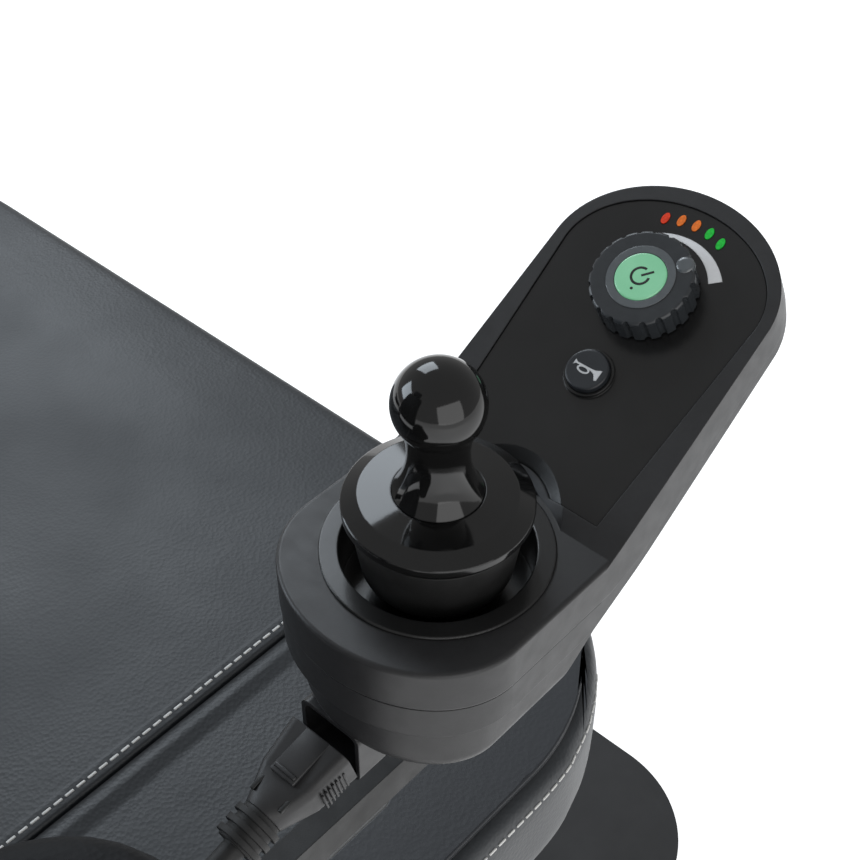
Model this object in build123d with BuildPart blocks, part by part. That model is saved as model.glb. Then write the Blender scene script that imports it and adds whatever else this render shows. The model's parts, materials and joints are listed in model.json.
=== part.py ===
"""Power wheelchair with a captain seat, mid-wheel drive base and a joystick controller.

The chair faces -Y and stands on Z = 0. The user's right hand side is -X.
All sizes are in millimetres.
"""
import os
from math import cos, pi, radians, sin, tan

from build123d import *

# ---- overall sizes ----
seat_top = 530.5
seat_half_width = 274.0
seat_front_y = -301.0
seat_depth = 480.0
cushion_thick = 62.5
arm_centre_x = 266.0
running_gap = 0.05

# ---- joystick controller, measured from the joystick's ring ----
ring_y = -151.0
ring_z = 693.0
ring_radius = 30.3
shell_half_width = 37.2
panel_half_width = 35.8
rear_centre = -12.5
rear_depth = 29.4
slope_angle = 28.8
slope_start = 26.1
tip_centre = 74.9
tip_depth = 29.1
shell_wall = 2.4
face_recess = 1.9
face_thick = 1.5
well_radius = 27.8
well_depth = 17.0
scoop_low_radius = 33.0
scoop_high_radius = 41.0
scoop_height = 9.0
pivot_depth = 26.0
stick_radius = 3.0
ball_radius = 12.0
ball_height = 50.2
disc_radius = 25.0
disc_height = 18.1
knob_place = 69.9
knob_radius = 14.8
knob_height = 9.0
power_radius = 7.3
horn_place = 41.5
horn_radius = 6.25
belly_depth = 48.0
belly_round = 6.0
plug_x = -7.0
plug_drop = 15.0
plug_f = -36.0
plug_h = -55.0
cable_radius = 3.6

# ---- armrests ----
pad_half_width = 45.5
pad_top = 656.0
pad_thick = 30.0
pad_front_y = -58.5
pad_rear_y = 212.0
arm_tube_radius = 11.0
arm_tube_z = 600.0
arm_pivot_y = 238.0
arm_boss_radius = 16.0
arm_boss_half = 12.0
arm_pin_radius = 6.0
ear_thick = 8.0

# ---- backrest and headrest ----
back_tilt = 6.0
back_front_y = 190.0
back_bottom_z = 570.0
back_half_width = 212.0
back_height = 500.0
back_pad_thick = 55.0
back_shell_thick = 12.0
back_pivot_y = 215.0
back_pivot_z = 550.0
back_pin_radius = 5.0
headrest_half_width = 120.0
headrest_height = 130.0
headrest_thick = 60.0
post_radius = 7.0

# ---- base ----
rail_x = 125.0
rail_width = 30.0
rail_low = 150.0
rail_high = 200.0
rail_front_y = -250.0
rail_rear_y = 225.0
pan_thick = 12.0
frame_tube = 30.0
drive_y = -61.0
drive_radius = 165.0
drive_inner_x = 242.0
drive_width = 56.0
rim_radius = 118.0
axle_radius = 8.5
motor_radius = 44.0
motor_x = 188.0
caster_x = 190.0
caster_y = 374.0
caster_trail = 40.0
caster_radius = 75.0
caster_width = 42.0
caster_stem_radius = 9.0
beam_low = 200.0
beam_high = 235.0
tip_wheel_y = -255.0
tip_wheel_radius = 50.0
foot_half_width = 226.0
foot_top = 120.0
foot_thick = 8.0
foot_front_y = -489.0
foot_pivot_y = -326.0
foot_corner = 78.0
foot_pin_radius = 6.0
battery_width = 195.0
battery_length = 130.0
battery_height = 165.0

os.makedirs("parts", exist_ok=True)

pan_top = seat_top - cushion_thick
pan_low = pan_top - pan_thick
frame_low = pan_low - frame_tube
controller_x = -arm_centre_x
deck = Plane(origin=(controller_x, ring_y, ring_z), x_dir=(-1, 0, 0), z_dir=(0, 0, 1))
slope_sin = sin(radians(slope_angle))
slope_cos = cos(radians(slope_angle))
panel_origin = (controller_x, ring_y - slope_start, ring_z)
panel = Plane(origin=panel_origin, x_dir=(-1, 0, 0), z_dir=(0, slope_sin, slope_cos))
side_view = Plane(origin=(controller_x, ring_y, ring_z), x_dir=(0, -1, 0), z_dir=(-1, 0, 0))
back_sin = sin(radians(back_tilt))
back_cos = cos(radians(back_tilt))
back_plane = Plane(
    origin=(0, back_front_y, back_bottom_z), x_dir=(1, 0, 0), z_dir=(0, -back_cos, back_sin)
)


def save(builder, name):
    """Label one finished piece and write it to its own STEP file."""
    builder.part.label = name
    export_step(builder.part, f"parts/{name}.step")


def box_between(low, high, mode=Mode.ADD):
    """Add an upright box between two opposite corners."""
    middle = [(a + b) / 2 for a, b in zip(low, high)]
    size = [b - a for a, b in zip(low, high)]
    with Locations(tuple(middle)):
        Box(*size, mode=mode)


def rod_x(radius, start_x, end_x, y, z, mode=Mode.ADD):
    """Add a round rod along X."""
    with BuildSketch(Plane(origin=(start_x, y, z), x_dir=(0, 1, 0), z_dir=(1, 0, 0))) as outline:
        Circle(radius)
    extrude(outline.sketch, amount=end_x - start_x, mode=mode)


def rod_y(radius, start_y, end_y, x, z, mode=Mode.ADD):
    """Add a round rod along Y."""
    with BuildSketch(Plane(origin=(x, start_y, z), x_dir=(-1, 0, 0), z_dir=(0, 1, 0))) as outline:
        Circle(radius)
    extrude(outline.sketch, amount=end_y - start_y, mode=mode)


def rod_z(radius, start_z, end_z, x, y, mode=Mode.ADD):
    """Add a round rod along Z."""
    with BuildSketch(Plane(origin=(x, y, start_z))) as outline:
        Circle(radius)
    extrude(outline.sketch, amount=end_z - start_z, mode=mode)


# ---- controller housing ----
panel_reach = tip_centre + tip_depth
parting_depth = 14.4
band_depth = 24.0
far = slope_start + panel_reach * slope_cos + 15
far_rise = (far - slope_start) * tan(radians(slope_angle))
parting_line = [(-60, -parting_depth), (24, -parting_depth), (40, -9.6), (far, far_rise - 10.5)]
band_line = [(-60, -band_depth - 2), (22, -band_depth), (45, -11.5), (far, far_rise - 16.5)]


def housing_prism(inset):
    """Make the controller's outline: round rear end on the deck, oval tip on the panel."""
    with BuildSketch(deck.offset(-90)) as outline:
        with Locations((0, rear_centre)):
            Ellipse(shell_half_width - inset, rear_depth - inset)
            Rectangle(2 * (shell_half_width - inset), 170, align=(Align.CENTER, Align.MIN))
    extrude(outline.sketch, amount=200)
    wide = shell_half_width - inset
    slim = panel_half_width - inset
    with BuildSketch(panel.offset(-120)) as outline:
        with Locations((0, tip_centre)):
            Ellipse(slim, tip_depth - inset)
        Polygon(
            (-slim, tip_centre), (-wide, 5), (-wide, -130), (wide, -130), (wide, 5), (slim, tip_centre),
            align=None,
        )
    extrude(outline.sketch, amount=240, mode=Mode.INTERSECT)


def cut_to_profile(points):
    """Keep the part of the controller that lies inside a side profile."""
    with BuildSketch(side_view) as outline:
        Polygon(*points, align=None)
    extrude(outline.sketch, amount=60, both=True, mode=Mode.INTERSECT)


def top_line(depth):
    """Give the deck and panel line of the side profile, at a depth under the surface."""
    bend = slope_start - depth * tan(radians(slope_angle / 2))
    rise = far_rise - depth / slope_cos + 6 * tan(radians(slope_angle))
    return [(far + 6, rise), (bend, -depth), (-60, -depth)]


def scoop(extra, mode=Mode.SUBTRACT):
    """Cut the shallow dish round the joystick where the panel starts to rise."""
    with BuildSketch(deck) as low:
        Circle(scoop_low_radius + extra)
    with BuildSketch(deck.offset(scoop_height)) as high:
        Circle(scoop_high_radius + extra)
    loft(sections=[low.sketch, high.sketch], mode=mode)


def knob_hole(radius, place, depth=30.0, mode=Mode.SUBTRACT):
    """Cut a round hole square to the panel."""
    with BuildSketch(panel.offset(-depth)) as outline:
        with Locations((0, place)):
            Circle(radius)
    extrude(outline.sketch, amount=depth + 20, mode=mode)


led_count = 5
led_arc_radius = 24.4
led_step = 11.2
led_half_width = 1.1
led_half_length = 1.9


def led_shapes(plane, height, clearance, mode):
    """Make the row of oval battery lights round the speed knob."""
    for index in range(led_count):
        turn = (index - (led_count - 1) / 2) * led_step
        place_x = led_arc_radius * sin(radians(turn))
        place_y = knob_place + led_arc_radius * cos(radians(turn))
        with BuildSketch(plane) as outline:
            with Locations((place_x, place_y)):
                Ellipse(led_half_width + clearance, led_half_length + clearance)
        extrude(outline.sketch, amount=height, mode=mode)


def face_outline(clearance):
    """Draw the faceplate's outline on the panel."""
    slim = panel_half_width - 3.5 - clearance
    with Locations((0, tip_centre)):
        Ellipse(slim, tip_depth - 5 - clearance)
    Polygon(
        (-slim, tip_centre), (-28 + clearance, 6), (28 - clearance, 6), (slim, tip_centre), align=None
    )


upper_profile = top_line(0) + parting_line
with BuildPart() as cavity:
    housing_prism(shell_wall)
    cut_to_profile(top_line(shell_wall + 1.4) + [(-60, -60), (far + 6, -60)])

with BuildPart() as upper_shell:
    housing_prism(0)
    cut_to_profile(upper_profile)
    fillet(upper_shell.edges().group_by(SortBy.LENGTH)[-1], 1.2)
    add(cavity.part, mode=Mode.SUBTRACT)
    scoop(0)
    with BuildSketch(deck.offset(-well_depth)):
        Circle(well_radius + 0.1)
    extrude(amount=60, mode=Mode.SUBTRACT)
    with BuildSketch(panel.offset(-face_recess)):
        face_outline(0)
    extrude(amount=20, mode=Mode.SUBTRACT)
    knob_hole(10.5, knob_place)
    knob_hole(7.5, horn_place)
    led_shapes(panel.offset(-20), 40, 0.6, Mode.SUBTRACT)
save(upper_shell, "controller_upper_shell")

with BuildPart() as faceplate:
    with BuildSketch(panel.offset(-face_recess)):
        face_outline(0.15)
    extrude(amount=face_thick)
    scoop(0.15)
    knob_hole(9.5 + running_gap, knob_place)
    with BuildSketch(panel.offset(-face_recess + face_thick)):
        with Locations((0, horn_place)):
            Circle(horn_radius + 1.0)
    extrude(amount=1.2)
    knob_hole(horn_radius + 0.08, horn_place)
    led_shapes(panel.offset(-5), 10, 0.0, Mode.SUBTRACT)
save(faceplate, "controller_faceplate")

with BuildPart() as led_lenses:
    led_shapes(panel.offset(-face_recess - 1.2), 1.2 + face_thick + 0.3, -0.05, Mode.ADD)
save(led_lenses, "battery_gauge_lights")

belly_inset = 5.0
belly_low = -belly_depth
socket_half_width = 11.0
hood_depth = 10.0
with BuildPart() as belly:
    housing_prism(belly_inset)
    cut_to_profile(
        [(-60, -20), (-60, belly_low), (12, belly_low), (30, -34), (far - 5, far_rise - 24),
         (far - 5, far_rise - 14), (45, -6), (22, -18)]
    )
    fillet(belly.faces().sort_by(Axis.Z)[0].edges(), belly_round)

with BuildPart() as belly_cavity:
    housing_prism(belly_inset + shell_wall)
    cut_to_profile(
        [(-60, 20), (-60, belly_low + shell_wall), (11, belly_low + shell_wall), (29, -31),
         (far - 8, far_rise - 20), (far - 8, far_rise)]
    )

hood_plane = Plane(
    origin=(controller_x - plug_x, ring_y - plug_f - 16, ring_z + plug_h), x_dir=(-1, 0, 0), z_dir=(0, 1, 0)
)
with BuildPart() as lower_shell:
    housing_prism(0.4)
    cut_to_profile(parting_line + band_line[::-1])
    add(belly.part)
    with BuildSketch(hood_plane):
        RectangleRounded(2 * socket_half_width, 2 * hood_depth, 3)
    extrude(amount=16)
    add(belly_cavity.part, mode=Mode.SUBTRACT)
    with BuildSketch(hood_plane.offset(4)):
        RectangleRounded(2 * socket_half_width - 3, 2 * hood_depth - 3, 2)
    extrude(amount=30, mode=Mode.SUBTRACT)
save(lower_shell, "controller_lower_shell")

with BuildPart() as bezel:
    with BuildSketch(deck.offset(-well_depth)):
        Circle(well_radius)
        Circle(well_radius - 1.8, mode=Mode.SUBTRACT)
    extrude(amount=well_depth)
    with BuildSketch(deck.offset(-well_depth)):
        Circle(well_radius)
        Circle(12.0, mode=Mode.SUBTRACT)
    extrude(amount=1.8)
    with BuildSketch(deck):
        Circle(ring_radius + 1.0)
        Circle(well_radius - 1.8, mode=Mode.SUBTRACT)
    extrude(amount=0.9)
    fillet(bezel.faces().sort_by(Axis.Z)[-1].edges(), 0.4)
save(bezel, "joystick_bezel")

# ---- joystick and its gimbal ----
pivot_z = ring_z - pivot_depth
gimbal_outer = 22.0
gimbal_inner = 17.0
yoke_outer = 15.0
yoke_inner = 11.0
yoke_half_height = 4.0
pivot_pin_radius = 2.0
with BuildPart() as gimbal_housing:
    low = ring_z - pivot_depth - 9
    high = ring_z - well_depth
    box_between(
        (controller_x - gimbal_outer, ring_y - gimbal_outer, low),
        (controller_x + gimbal_outer, ring_y + gimbal_outer, high),
    )
    box_between(
        (controller_x - gimbal_inner, ring_y - gimbal_inner, low - 1),
        (controller_x + gimbal_inner, ring_y + gimbal_inner, high + 1),
        Mode.SUBTRACT,
    )
    rod_x(pivot_pin_radius + running_gap, controller_x - 30, controller_x + 30, ring_y, pivot_z, Mode.SUBTRACT)
    fillet(gimbal_housing.edges().filter_by(Axis.Z).group_by(lambda e: e.length)[-1], 1.0)
save(gimbal_housing, "gimbal_housing")

with BuildPart() as yoke:
    reach = yoke_outer
    box_between(
        (controller_x - reach, ring_y - reach, pivot_z - yoke_half_height),
        (controller_x + reach, ring_y + reach, pivot_z + yoke_half_height),
    )
    box_between(
        (controller_x - yoke_inner, ring_y - yoke_inner, pivot_z - 10),
        (controller_x + yoke_inner, ring_y + yoke_inner, pivot_z + 10),
        Mode.SUBTRACT,
    )
    rod_y(pivot_pin_radius + running_gap, ring_y - 30, ring_y + 30, controller_x, pivot_z, Mode.SUBTRACT)
    for side in (-1, 1):
        inner_x = controller_x + side * (yoke_outer - 1)
        outer_x = controller_x + side * (gimbal_outer - 0.3)
        rod_x(pivot_pin_radius, min(inner_x, outer_x), max(inner_x, outer_x), ring_y, pivot_z)
save(yoke, "gimbal_yoke")

with BuildPart() as joystick_shaft:
    rod_z(stick_radius, pivot_z - 6, ring_z + ball_height - 6, controller_x, ring_y)
    rod_z(5.5, pivot_z - 4.5, pivot_z + 4.5, controller_x, ring_y)
    rod_y(pivot_pin_radius, ring_y - yoke_outer + 0.2, ring_y + yoke_outer - 0.2, controller_x, pivot_z)
save(joystick_shaft, "joystick_shaft")

profile_plane = Plane(origin=(controller_x, ring_y, ring_z), x_dir=(1, 0, 0), z_dir=(0, -1, 0))
collar_top = disc_height + 6.0
with BuildPart() as knob:
    with BuildSketch(profile_plane):
        with BuildLine():
            neck_meet = (9.2, ball_height - (ball_radius**2 - 9.2**2) ** 0.5)
            Line((0, collar_top - 5), (11.8, collar_top - 5))
            Line((11.8, collar_top - 5), (11.8, collar_top - 2.4))
            Spline((11.8, collar_top - 2.4), (9.4, collar_top + 2.5), (8.2, collar_top + 8), neck_meet)
            ThreePointArc(neck_meet, (ball_radius, ball_height), (0, ball_height + ball_radius))
            Line((0, ball_height + ball_radius), (0, collar_top - 5))
        make_face()
    revolve(axis=Axis((controller_x, ring_y, 0), (0, 0, 1)))
    rod_z(stick_radius, ring_z, ring_z + ball_height - 6, controller_x, ring_y, Mode.SUBTRACT)
save(knob, "joystick_knob")

with BuildPart() as disc:
    with BuildSketch(profile_plane):
        Polygon(
            (stick_radius, disc_height - 5), (21.5, disc_height - 5), (disc_radius, disc_height - 2.2),
            (disc_radius, disc_height), (20.6, disc_height + 2.6), (12.0, collar_top - 2.6),
            (11.8, collar_top - 5), (stick_radius, collar_top - 5),
            align=None,
        )
    revolve(axis=Axis((controller_x, ring_y, 0), (0, 0, 1)))
    edges_here = disc.edges().filter_by(GeomType.CIRCLE).filter_by(lambda e: e.radius > 20)
    fillet(edges_here, 0.5)
save(disc, "joystick_disc")

boot_top = disc_height - 5
with BuildPart() as boot:
    with BuildSketch(profile_plane):
        Polygon(
            (stick_radius, boot_top), (23.0, boot_top), (21.6, 4), (20.4, -4), (18.5, -7),
            (16.8, -7), (18.4, -3), (19.6, 4), (20.9, boot_top - 2), (stick_radius, boot_top - 2),
            align=None,
        )
    revolve(axis=Axis((controller_x, ring_y, 0), (0, 0, 1)))
save(boot, "joystick_boot")

# ---- speed knob, buttons and circuit board ----
groove_count = 20
groove_radius = 1.0
pointer_angle = 45.0
knob_floor = panel.offset(0.3)
with BuildPart() as speed_knob:
    with BuildSketch(knob_floor):
        with Locations((0, knob_place)):
            Circle(knob_radius)
    extrude(amount=knob_height)
    fillet(speed_knob.faces().sort_by(lambda f: panel.to_local_coords(f.center()).Z)[-1].edges(), 1.0)
    with BuildSketch(knob_floor):
        with Locations((0, knob_place)):
            with PolarLocations(knob_radius + 0.15, groove_count, start_angle=pointer_angle + 9):
                Circle(groove_radius)
    extrude(amount=knob_height + 1, mode=Mode.SUBTRACT)
    with BuildSketch(panel.offset(-6)):
        with Locations((0, knob_place)):
            Circle(9.5)
    extrude(amount=8)
    with BuildSketch(panel.offset(-4.5)):
        with Locations((0, knob_place)):
            Circle(power_radius + 0.08)
    extrude(amount=30, mode=Mode.SUBTRACT)
save(speed_knob, "speed_knob")

button_travel = 1.0
with BuildPart() as power_button:
    with BuildSketch(panel.offset(-4.5 + button_travel + 0.2)):
        with Locations((0, knob_place)):
            Circle(power_radius)
    extrude(amount=knob_height + 0.3 + 4.5 - button_travel - 0.2 + 0.6)
    top_edge = power_button.edges().sort_by(lambda e: panel.to_local_coords(e.center()).Z)[-1]
    fillet(top_edge, 0.5)
save(power_button, "power_button")

with BuildPart() as horn_button:
    with BuildSketch(panel.offset(-5)):
        with Locations((0, horn_place)):
            Circle(horn_radius)
    extrude(amount=5 + 2.8)
    top_edge = horn_button.edges().sort_by(lambda e: panel.to_local_coords(e.center()).Z)[-1]
    fillet(top_edge, 0.6)
save(horn_button, "horn_button")

with BuildPart() as circuit_board:
    with BuildSketch(panel.offset(-9.6)):
        with Locations((0, 52)):
            RectangleRounded(50, 50, 4)
    extrude(amount=1.6)
    with BuildSketch(panel.offset(-8)):
        with Locations((-20, 40), (20, 40), (-20, 60), (20, 60)):
            Rectangle(6, 8)
    extrude(amount=1.5)
save(circuit_board, "controller_circuit_board")

# ---- plug and cable under the right armrest ----
plug_plane = Plane(
    origin=(controller_x - plug_x, ring_y - plug_f + 0.2, ring_z + plug_h),
    x_dir=(-1, 0, 0),
    z_dir=(0, cos(radians(plug_drop)), -sin(radians(plug_drop))),
)
with BuildPart() as plug:
    with BuildSketch(plug_plane.offset(2.2)) as wide_end:
        RectangleRounded(22, 15, 3)
    with BuildSketch(plug_plane.offset(16)) as narrow_end:
        RectangleRounded(19, 13, 3)
    loft(sections=[wide_end.sketch, narrow_end.sketch])
    with BuildSketch(plug_plane.offset(16)) as grip_end:
        RectangleRounded(19, 13, 3)
    with BuildSketch(plug_plane.offset(27)) as neck_end:
        Circle(6.2)
    loft(sections=[grip_end.sketch, neck_end.sketch])
save(plug, "controller_plug")

with BuildPart() as strain_relief:
    with BuildSketch(plug_plane.offset(27)):
        Circle(6.0)
        Circle(cable_radius, mode=Mode.SUBTRACT)
    extrude(amount=11)
    for ring_place in (28.5, 32.0, 35.5):
        with BuildSketch(plug_plane.offset(ring_place)):
            Circle(7.4)
            Circle(cable_radius, mode=Mode.SUBTRACT)
        extrude(amount=1.8)
save(strain_relief, "plug_strain_relief")

cable_start = plug_plane.origin + plug_plane.z_dir * 27.1
cable_side = controller_x + 20.5
cable_points = [
    cable_start,
    cable_start + plug_plane.z_dir * 24,
    Vector(controller_x + 14, -44, ring_z - 82),
    Vector(cable_side, -2, ring_z - 92.5),
    Vector(cable_side - 0.5, 42, ring_z - 94.0),
    Vector(cable_side, 86, ring_z - 93.0),
    Vector(cable_side - 0.5, 130, ring_z - 94.0),
    Vector(cable_side, 172, ring_z - 93.0),
]


def bend_radii(points):
    """Give each corner an arc as large as its two runs allow."""
    radii = []
    for before, here, after in zip(points, points[1:], points[2:]):
        first = here - before
        second = after - here
        turn = radians(first.get_angle(second))
        shorter = min(first.length, second.length)
        radii.append(0.45 * shorter / tan(turn / 2))
    return radii


cable_radii = bend_radii(cable_points)
print("cable bend radii:", [round(radius, 1) for radius in cable_radii])
with BuildPart() as cable:
    with BuildLine() as cable_path:
        FilletPolyline(*cable_points, radius=cable_radii)
    with BuildSketch(Plane(origin=cable_points[0], z_dir=plug_plane.z_dir)):
        Circle(cable_radius)
    sweep()
cable_length = sum(edge.length for edge in cable_path.edges())
print("cable volume over section x length:", cable.part.volume / (pi * cable_radius**2 * cable_length))
save(cable, "controller_cable")


# ---- armrests ----
def armrest_pad(side, name):
    """Make one armrest pad with a round nose."""
    with BuildPart() as pad:
        with BuildSketch(Plane.XY.offset(pad_top - pad_thick)) as outline:
            with Locations((side * arm_centre_x, (pad_front_y + pad_rear_y) / 2)):
                SlotOverall(pad_rear_y - pad_front_y, 2 * pad_half_width, rotation=90)
        extrude(outline.sketch, amount=pad_thick)
        fillet(pad.faces().sort_by(Axis.Z)[-1].edges(), 9)
        fillet(pad.faces().sort_by(Axis.Z)[0].edges(), 5)
    save(pad, name)


def armrest_tube(side, name, front_y):
    """Make one armrest tube with its pad rail and its pivot boss."""
    centre = side * arm_centre_x
    with BuildPart() as tube:
        rod_y(arm_tube_radius, front_y, arm_pivot_y, centre, arm_tube_z)
        box_between(
            (centre - 12, 0, arm_tube_z + arm_tube_radius - 2),
            (centre + 12, pad_rear_y - 30, pad_top - pad_thick),
        )
        rod_x(arm_boss_radius, centre - arm_boss_half, centre + arm_boss_half, arm_pivot_y, arm_tube_z)
        rod_y(arm_tube_radius - 2.5, front_y - 1, arm_pivot_y - 30, centre, arm_tube_z, Mode.SUBTRACT)
        rod_x(arm_pin_radius + running_gap, centre - 40, centre + 40, arm_pivot_y, arm_tube_z, Mode.SUBTRACT)
    save(tube, name)


with BuildPart() as armrest_posts:
    for side in (-1, 1):
        centre = side * arm_centre_x
        box_between(
            (centre - 16, arm_pivot_y - 14, frame_low), (centre + 16, arm_pivot_y + 14, arm_tube_z - 26)
        )
        for ear in (-1, 1):
            inner = centre + ear * (arm_boss_half + 0.1)
            outer = centre + ear * (arm_boss_half + ear_thick)
            box_between(
                (min(inner, outer), arm_pivot_y - 14, arm_tube_z - 40),
                (max(inner, outer), arm_pivot_y + 14, arm_tube_z),
            )
            rod_x(14, min(inner, outer), max(inner, outer), arm_pivot_y, arm_tube_z)
        rod_x(arm_pin_radius, centre - 40, centre + 40, arm_pivot_y, arm_tube_z, Mode.SUBTRACT)
save(armrest_posts, "armrest_posts")

mount_tube_radius = arm_tube_radius - 2.5
arm_tube_front_y = -58.0
for side, word in ((-1, "right"), (1, "left")):
    armrest_pad(side, f"armrest_pad_{word}")
    armrest_tube(side, f"armrest_tube_{word}", arm_tube_front_y if side < 0 else pad_front_y + 12)

mount_inner_x = controller_x + 12
mount_outer_x = controller_x + 4
mount_block_y = -72.0
mount_block_length = 12.0
mount_post_y = ring_y - 30
mount_post_length = 22.0
mount_bar_low = ring_z - 104
mount_bar_high = ring_z - 90
with BuildPart() as controller_mount:
    rod_y(mount_tube_radius, mount_block_y, arm_tube_front_y + 60, controller_x, arm_tube_z)
    box_between(
        (controller_x - mount_tube_radius, mount_block_y, mount_bar_low),
        (mount_inner_x, mount_block_y + mount_block_length, arm_tube_z + mount_tube_radius),
    )
    box_between(
        (mount_outer_x, mount_post_y, mount_bar_low), (mount_inner_x, mount_block_y + 1, mount_bar_high)
    )
    box_between(
        (mount_outer_x, mount_post_y, mount_bar_low),
        (mount_inner_x, mount_post_y + mount_post_length, ring_z - belly_depth),
    )
    box_between(
        (controller_x - 16, mount_post_y, ring_z - belly_depth - 3),
        (controller_x + 16, mount_post_y + mount_post_length, ring_z - belly_depth),
    )
save(controller_mount, "controller_mount")


# ---- seat ----
seat_rear_y = seat_front_y + seat_depth
seat_mid_y = (seat_front_y + seat_rear_y) / 2
seat_corner = 98.0
seat_top_round = 7.0
seat_low_round = 16.0
with BuildPart() as seat_cushion:
    with BuildSketch(Plane.XY.offset(pan_top)):
        with Locations((0, seat_mid_y)):
            Rectangle(2 * seat_half_width, seat_depth)
    extrude(amount=cushion_thick)
    fillet(seat_cushion.edges().filter_by(Axis.Z).group_by(Axis.Y)[0], seat_corner)
    fillet(seat_cushion.edges().filter_by(Axis.Z).group_by(Axis.Y)[-1], 30)
    fillet(seat_cushion.faces().sort_by(Axis.Z)[-1].edges(), seat_top_round)
    fillet(seat_cushion.faces().sort_by(Axis.Z)[0].edges(), seat_low_round)
save(seat_cushion, "seat_cushion")

pan_inset = 30.0
with BuildPart() as seat_pan:
    with BuildSketch(Plane.XY.offset(pan_low)):
        with Locations((0, seat_mid_y)):
            RectangleRounded(2 * (seat_half_width - pan_inset), seat_depth - 2 * pan_inset, 30)
    extrude(amount=pan_thick)
save(seat_pan, "seat_pan")

tower_size = 26.0
tower_places = (-150.0, 110.0)
with BuildPart() as seat_frame:
    for side in (-1, 1):
        centre = side * rail_x
        box_between(
            (centre - frame_tube / 2, seat_front_y + 60, frame_low),
            (centre + frame_tube / 2, arm_pivot_y + 14, pan_low),
        )
        for tower_y in tower_places:
            box_between(
                (centre - tower_size / 2, tower_y - tower_size / 2, rail_high),
                (centre + tower_size / 2, tower_y + tower_size / 2, frame_low),
            )
    for bar_y in (-120.0, 60.0):
        box_between((-rail_x, bar_y - frame_tube / 2, frame_low), (rail_x, bar_y + frame_tube / 2, pan_low))
    box_between(
        (-arm_centre_x + 16, back_pivot_y - 11, frame_low),
        (arm_centre_x - 16, arm_pivot_y + 14, pan_low),
    )
save(seat_frame, "seat_frame")

# ---- backrest ----
shell_behind = back_plane.offset(-back_pad_thick)
with BuildPart() as backrest_cushion:
    with BuildSketch(shell_behind):
        with Locations((0, back_height / 2)):
            RectangleRounded(2 * back_half_width, back_height, 55)
    extrude(amount=back_pad_thick)
    front_face = backrest_cushion.faces().sort_by(Axis((0, 0, 0), back_plane.z_dir))[-1]
    fillet(front_face.edges(), 16)
save(backrest_cushion, "backrest_cushion")

rear_face = back_plane.offset(-back_pad_thick - back_shell_thick)
with BuildPart() as backrest_shell:
    with BuildSketch(rear_face):
        with Locations((0, back_height / 2)):
            RectangleRounded(2 * back_half_width - 12, back_height - 12, 49)
    extrude(amount=back_shell_thick)
save(backrest_shell, "backrest_shell")

hinge_x = 180.0
hinge_half = 5.0
hinge_ear = 7.0
hinge_boss_radius = 11.0
with BuildPart() as backrest_hinges:
    for side in (-1, 1):
        centre = side * hinge_x
        rod_x(hinge_boss_radius, centre - hinge_half, centre + hinge_half, back_pivot_y, back_pivot_z)
        with BuildSketch(Plane(origin=(centre - hinge_half, 0, 0), x_dir=(0, 1, 0), z_dir=(1, 0, 0))):
            arm_low = rear_face.from_local_coords((0, -3, 0))
            arm_high = rear_face.from_local_coords((0, 150, 0))
            Polygon(
                (back_pivot_y, back_pivot_z - hinge_boss_radius), (arm_low.Y + 12, back_pivot_z - hinge_boss_radius),
                (arm_high.Y + 12, arm_high.Z), (arm_high.Y, arm_high.Z), (arm_low.Y, arm_low.Z),
                (back_pivot_y, arm_low.Z),
                align=None,
            )
        extrude(amount=2 * hinge_half)
    rod_x(back_pin_radius + running_gap, -300, 300, back_pivot_y, back_pivot_z, Mode.SUBTRACT)
save(backrest_hinges, "backrest_hinges")

with BuildPart() as backrest_brackets:
    for side in (-1, 1):
        for ear in (-1, 1):
            inner = side * hinge_x + ear * (hinge_half + 0.1)
            outer = side * hinge_x + ear * (hinge_half + hinge_ear)
            low_x = min(inner, outer)
            high_x = max(inner, outer)
            box_between((low_x, back_pivot_y - 11, pan_low), (high_x, back_pivot_y + 11, back_pivot_z))
            rod_x(11, low_x, high_x, back_pivot_y, back_pivot_z)
        box_between(
            (side * hinge_x - hinge_half - hinge_ear, back_pivot_y - 11, pan_low),
            (side * hinge_x + hinge_half + hinge_ear, back_pivot_y + 11, pan_low + 20),
        )
    rod_x(back_pin_radius, -300, 300, back_pivot_y, back_pivot_z, Mode.SUBTRACT)
save(backrest_brackets, "backrest_brackets")

handle_x = 150.0
handle_place = 440.0
with BuildPart() as push_handles:
    for side in (-1, 1):
        start = rear_face.from_local_coords((0, handle_place, 0))
        rod_y(10.5, start.Y - 4, start.Y + 96, side * handle_x, start.Z)
    add(backrest_shell.part, mode=Mode.SUBTRACT)
    with BuildSketch(back_plane):
        with Locations((0, back_height / 2)):
            Rectangle(600, 600)
    extrude(amount=-(back_pad_thick + back_shell_thick), mode=Mode.SUBTRACT)
save(push_handles, "push_handles")

with BuildPart() as handle_grips:
    for side in (-1, 1):
        start = rear_face.from_local_coords((0, handle_place, 0))
        rod_y(15, start.Y + 16, start.Y + 104, side * handle_x, start.Z)
        rod_y(10.5, start.Y + 10, start.Y + 96, side * handle_x, start.Z, Mode.SUBTRACT)
save(handle_grips, "handle_grips")

post_x = 45.0
post_behind = -back_pad_thick - back_shell_thick - post_radius - 6
headrest_gap = 28.0
post_low = back_height - 110
with BuildPart() as headrest_sleeve:
    with BuildSketch(rear_face.offset(-2 * post_radius - 10)):
        with Locations((0, back_height - 70)):
            RectangleRounded(2 * post_x + 40, 50, 6)
    extrude(amount=2 * post_radius + 10)
    for side in (-1, 1):
        with BuildSketch(Plane(
            origin=back_plane.from_local_coords((side * post_x, 0, post_behind)),
            x_dir=(1, 0, 0),
            z_dir=back_plane.y_dir,
        )):
            Circle(post_radius + running_gap)
        extrude(amount=900, mode=Mode.SUBTRACT)
save(headrest_sleeve, "headrest_sleeve")

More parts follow.
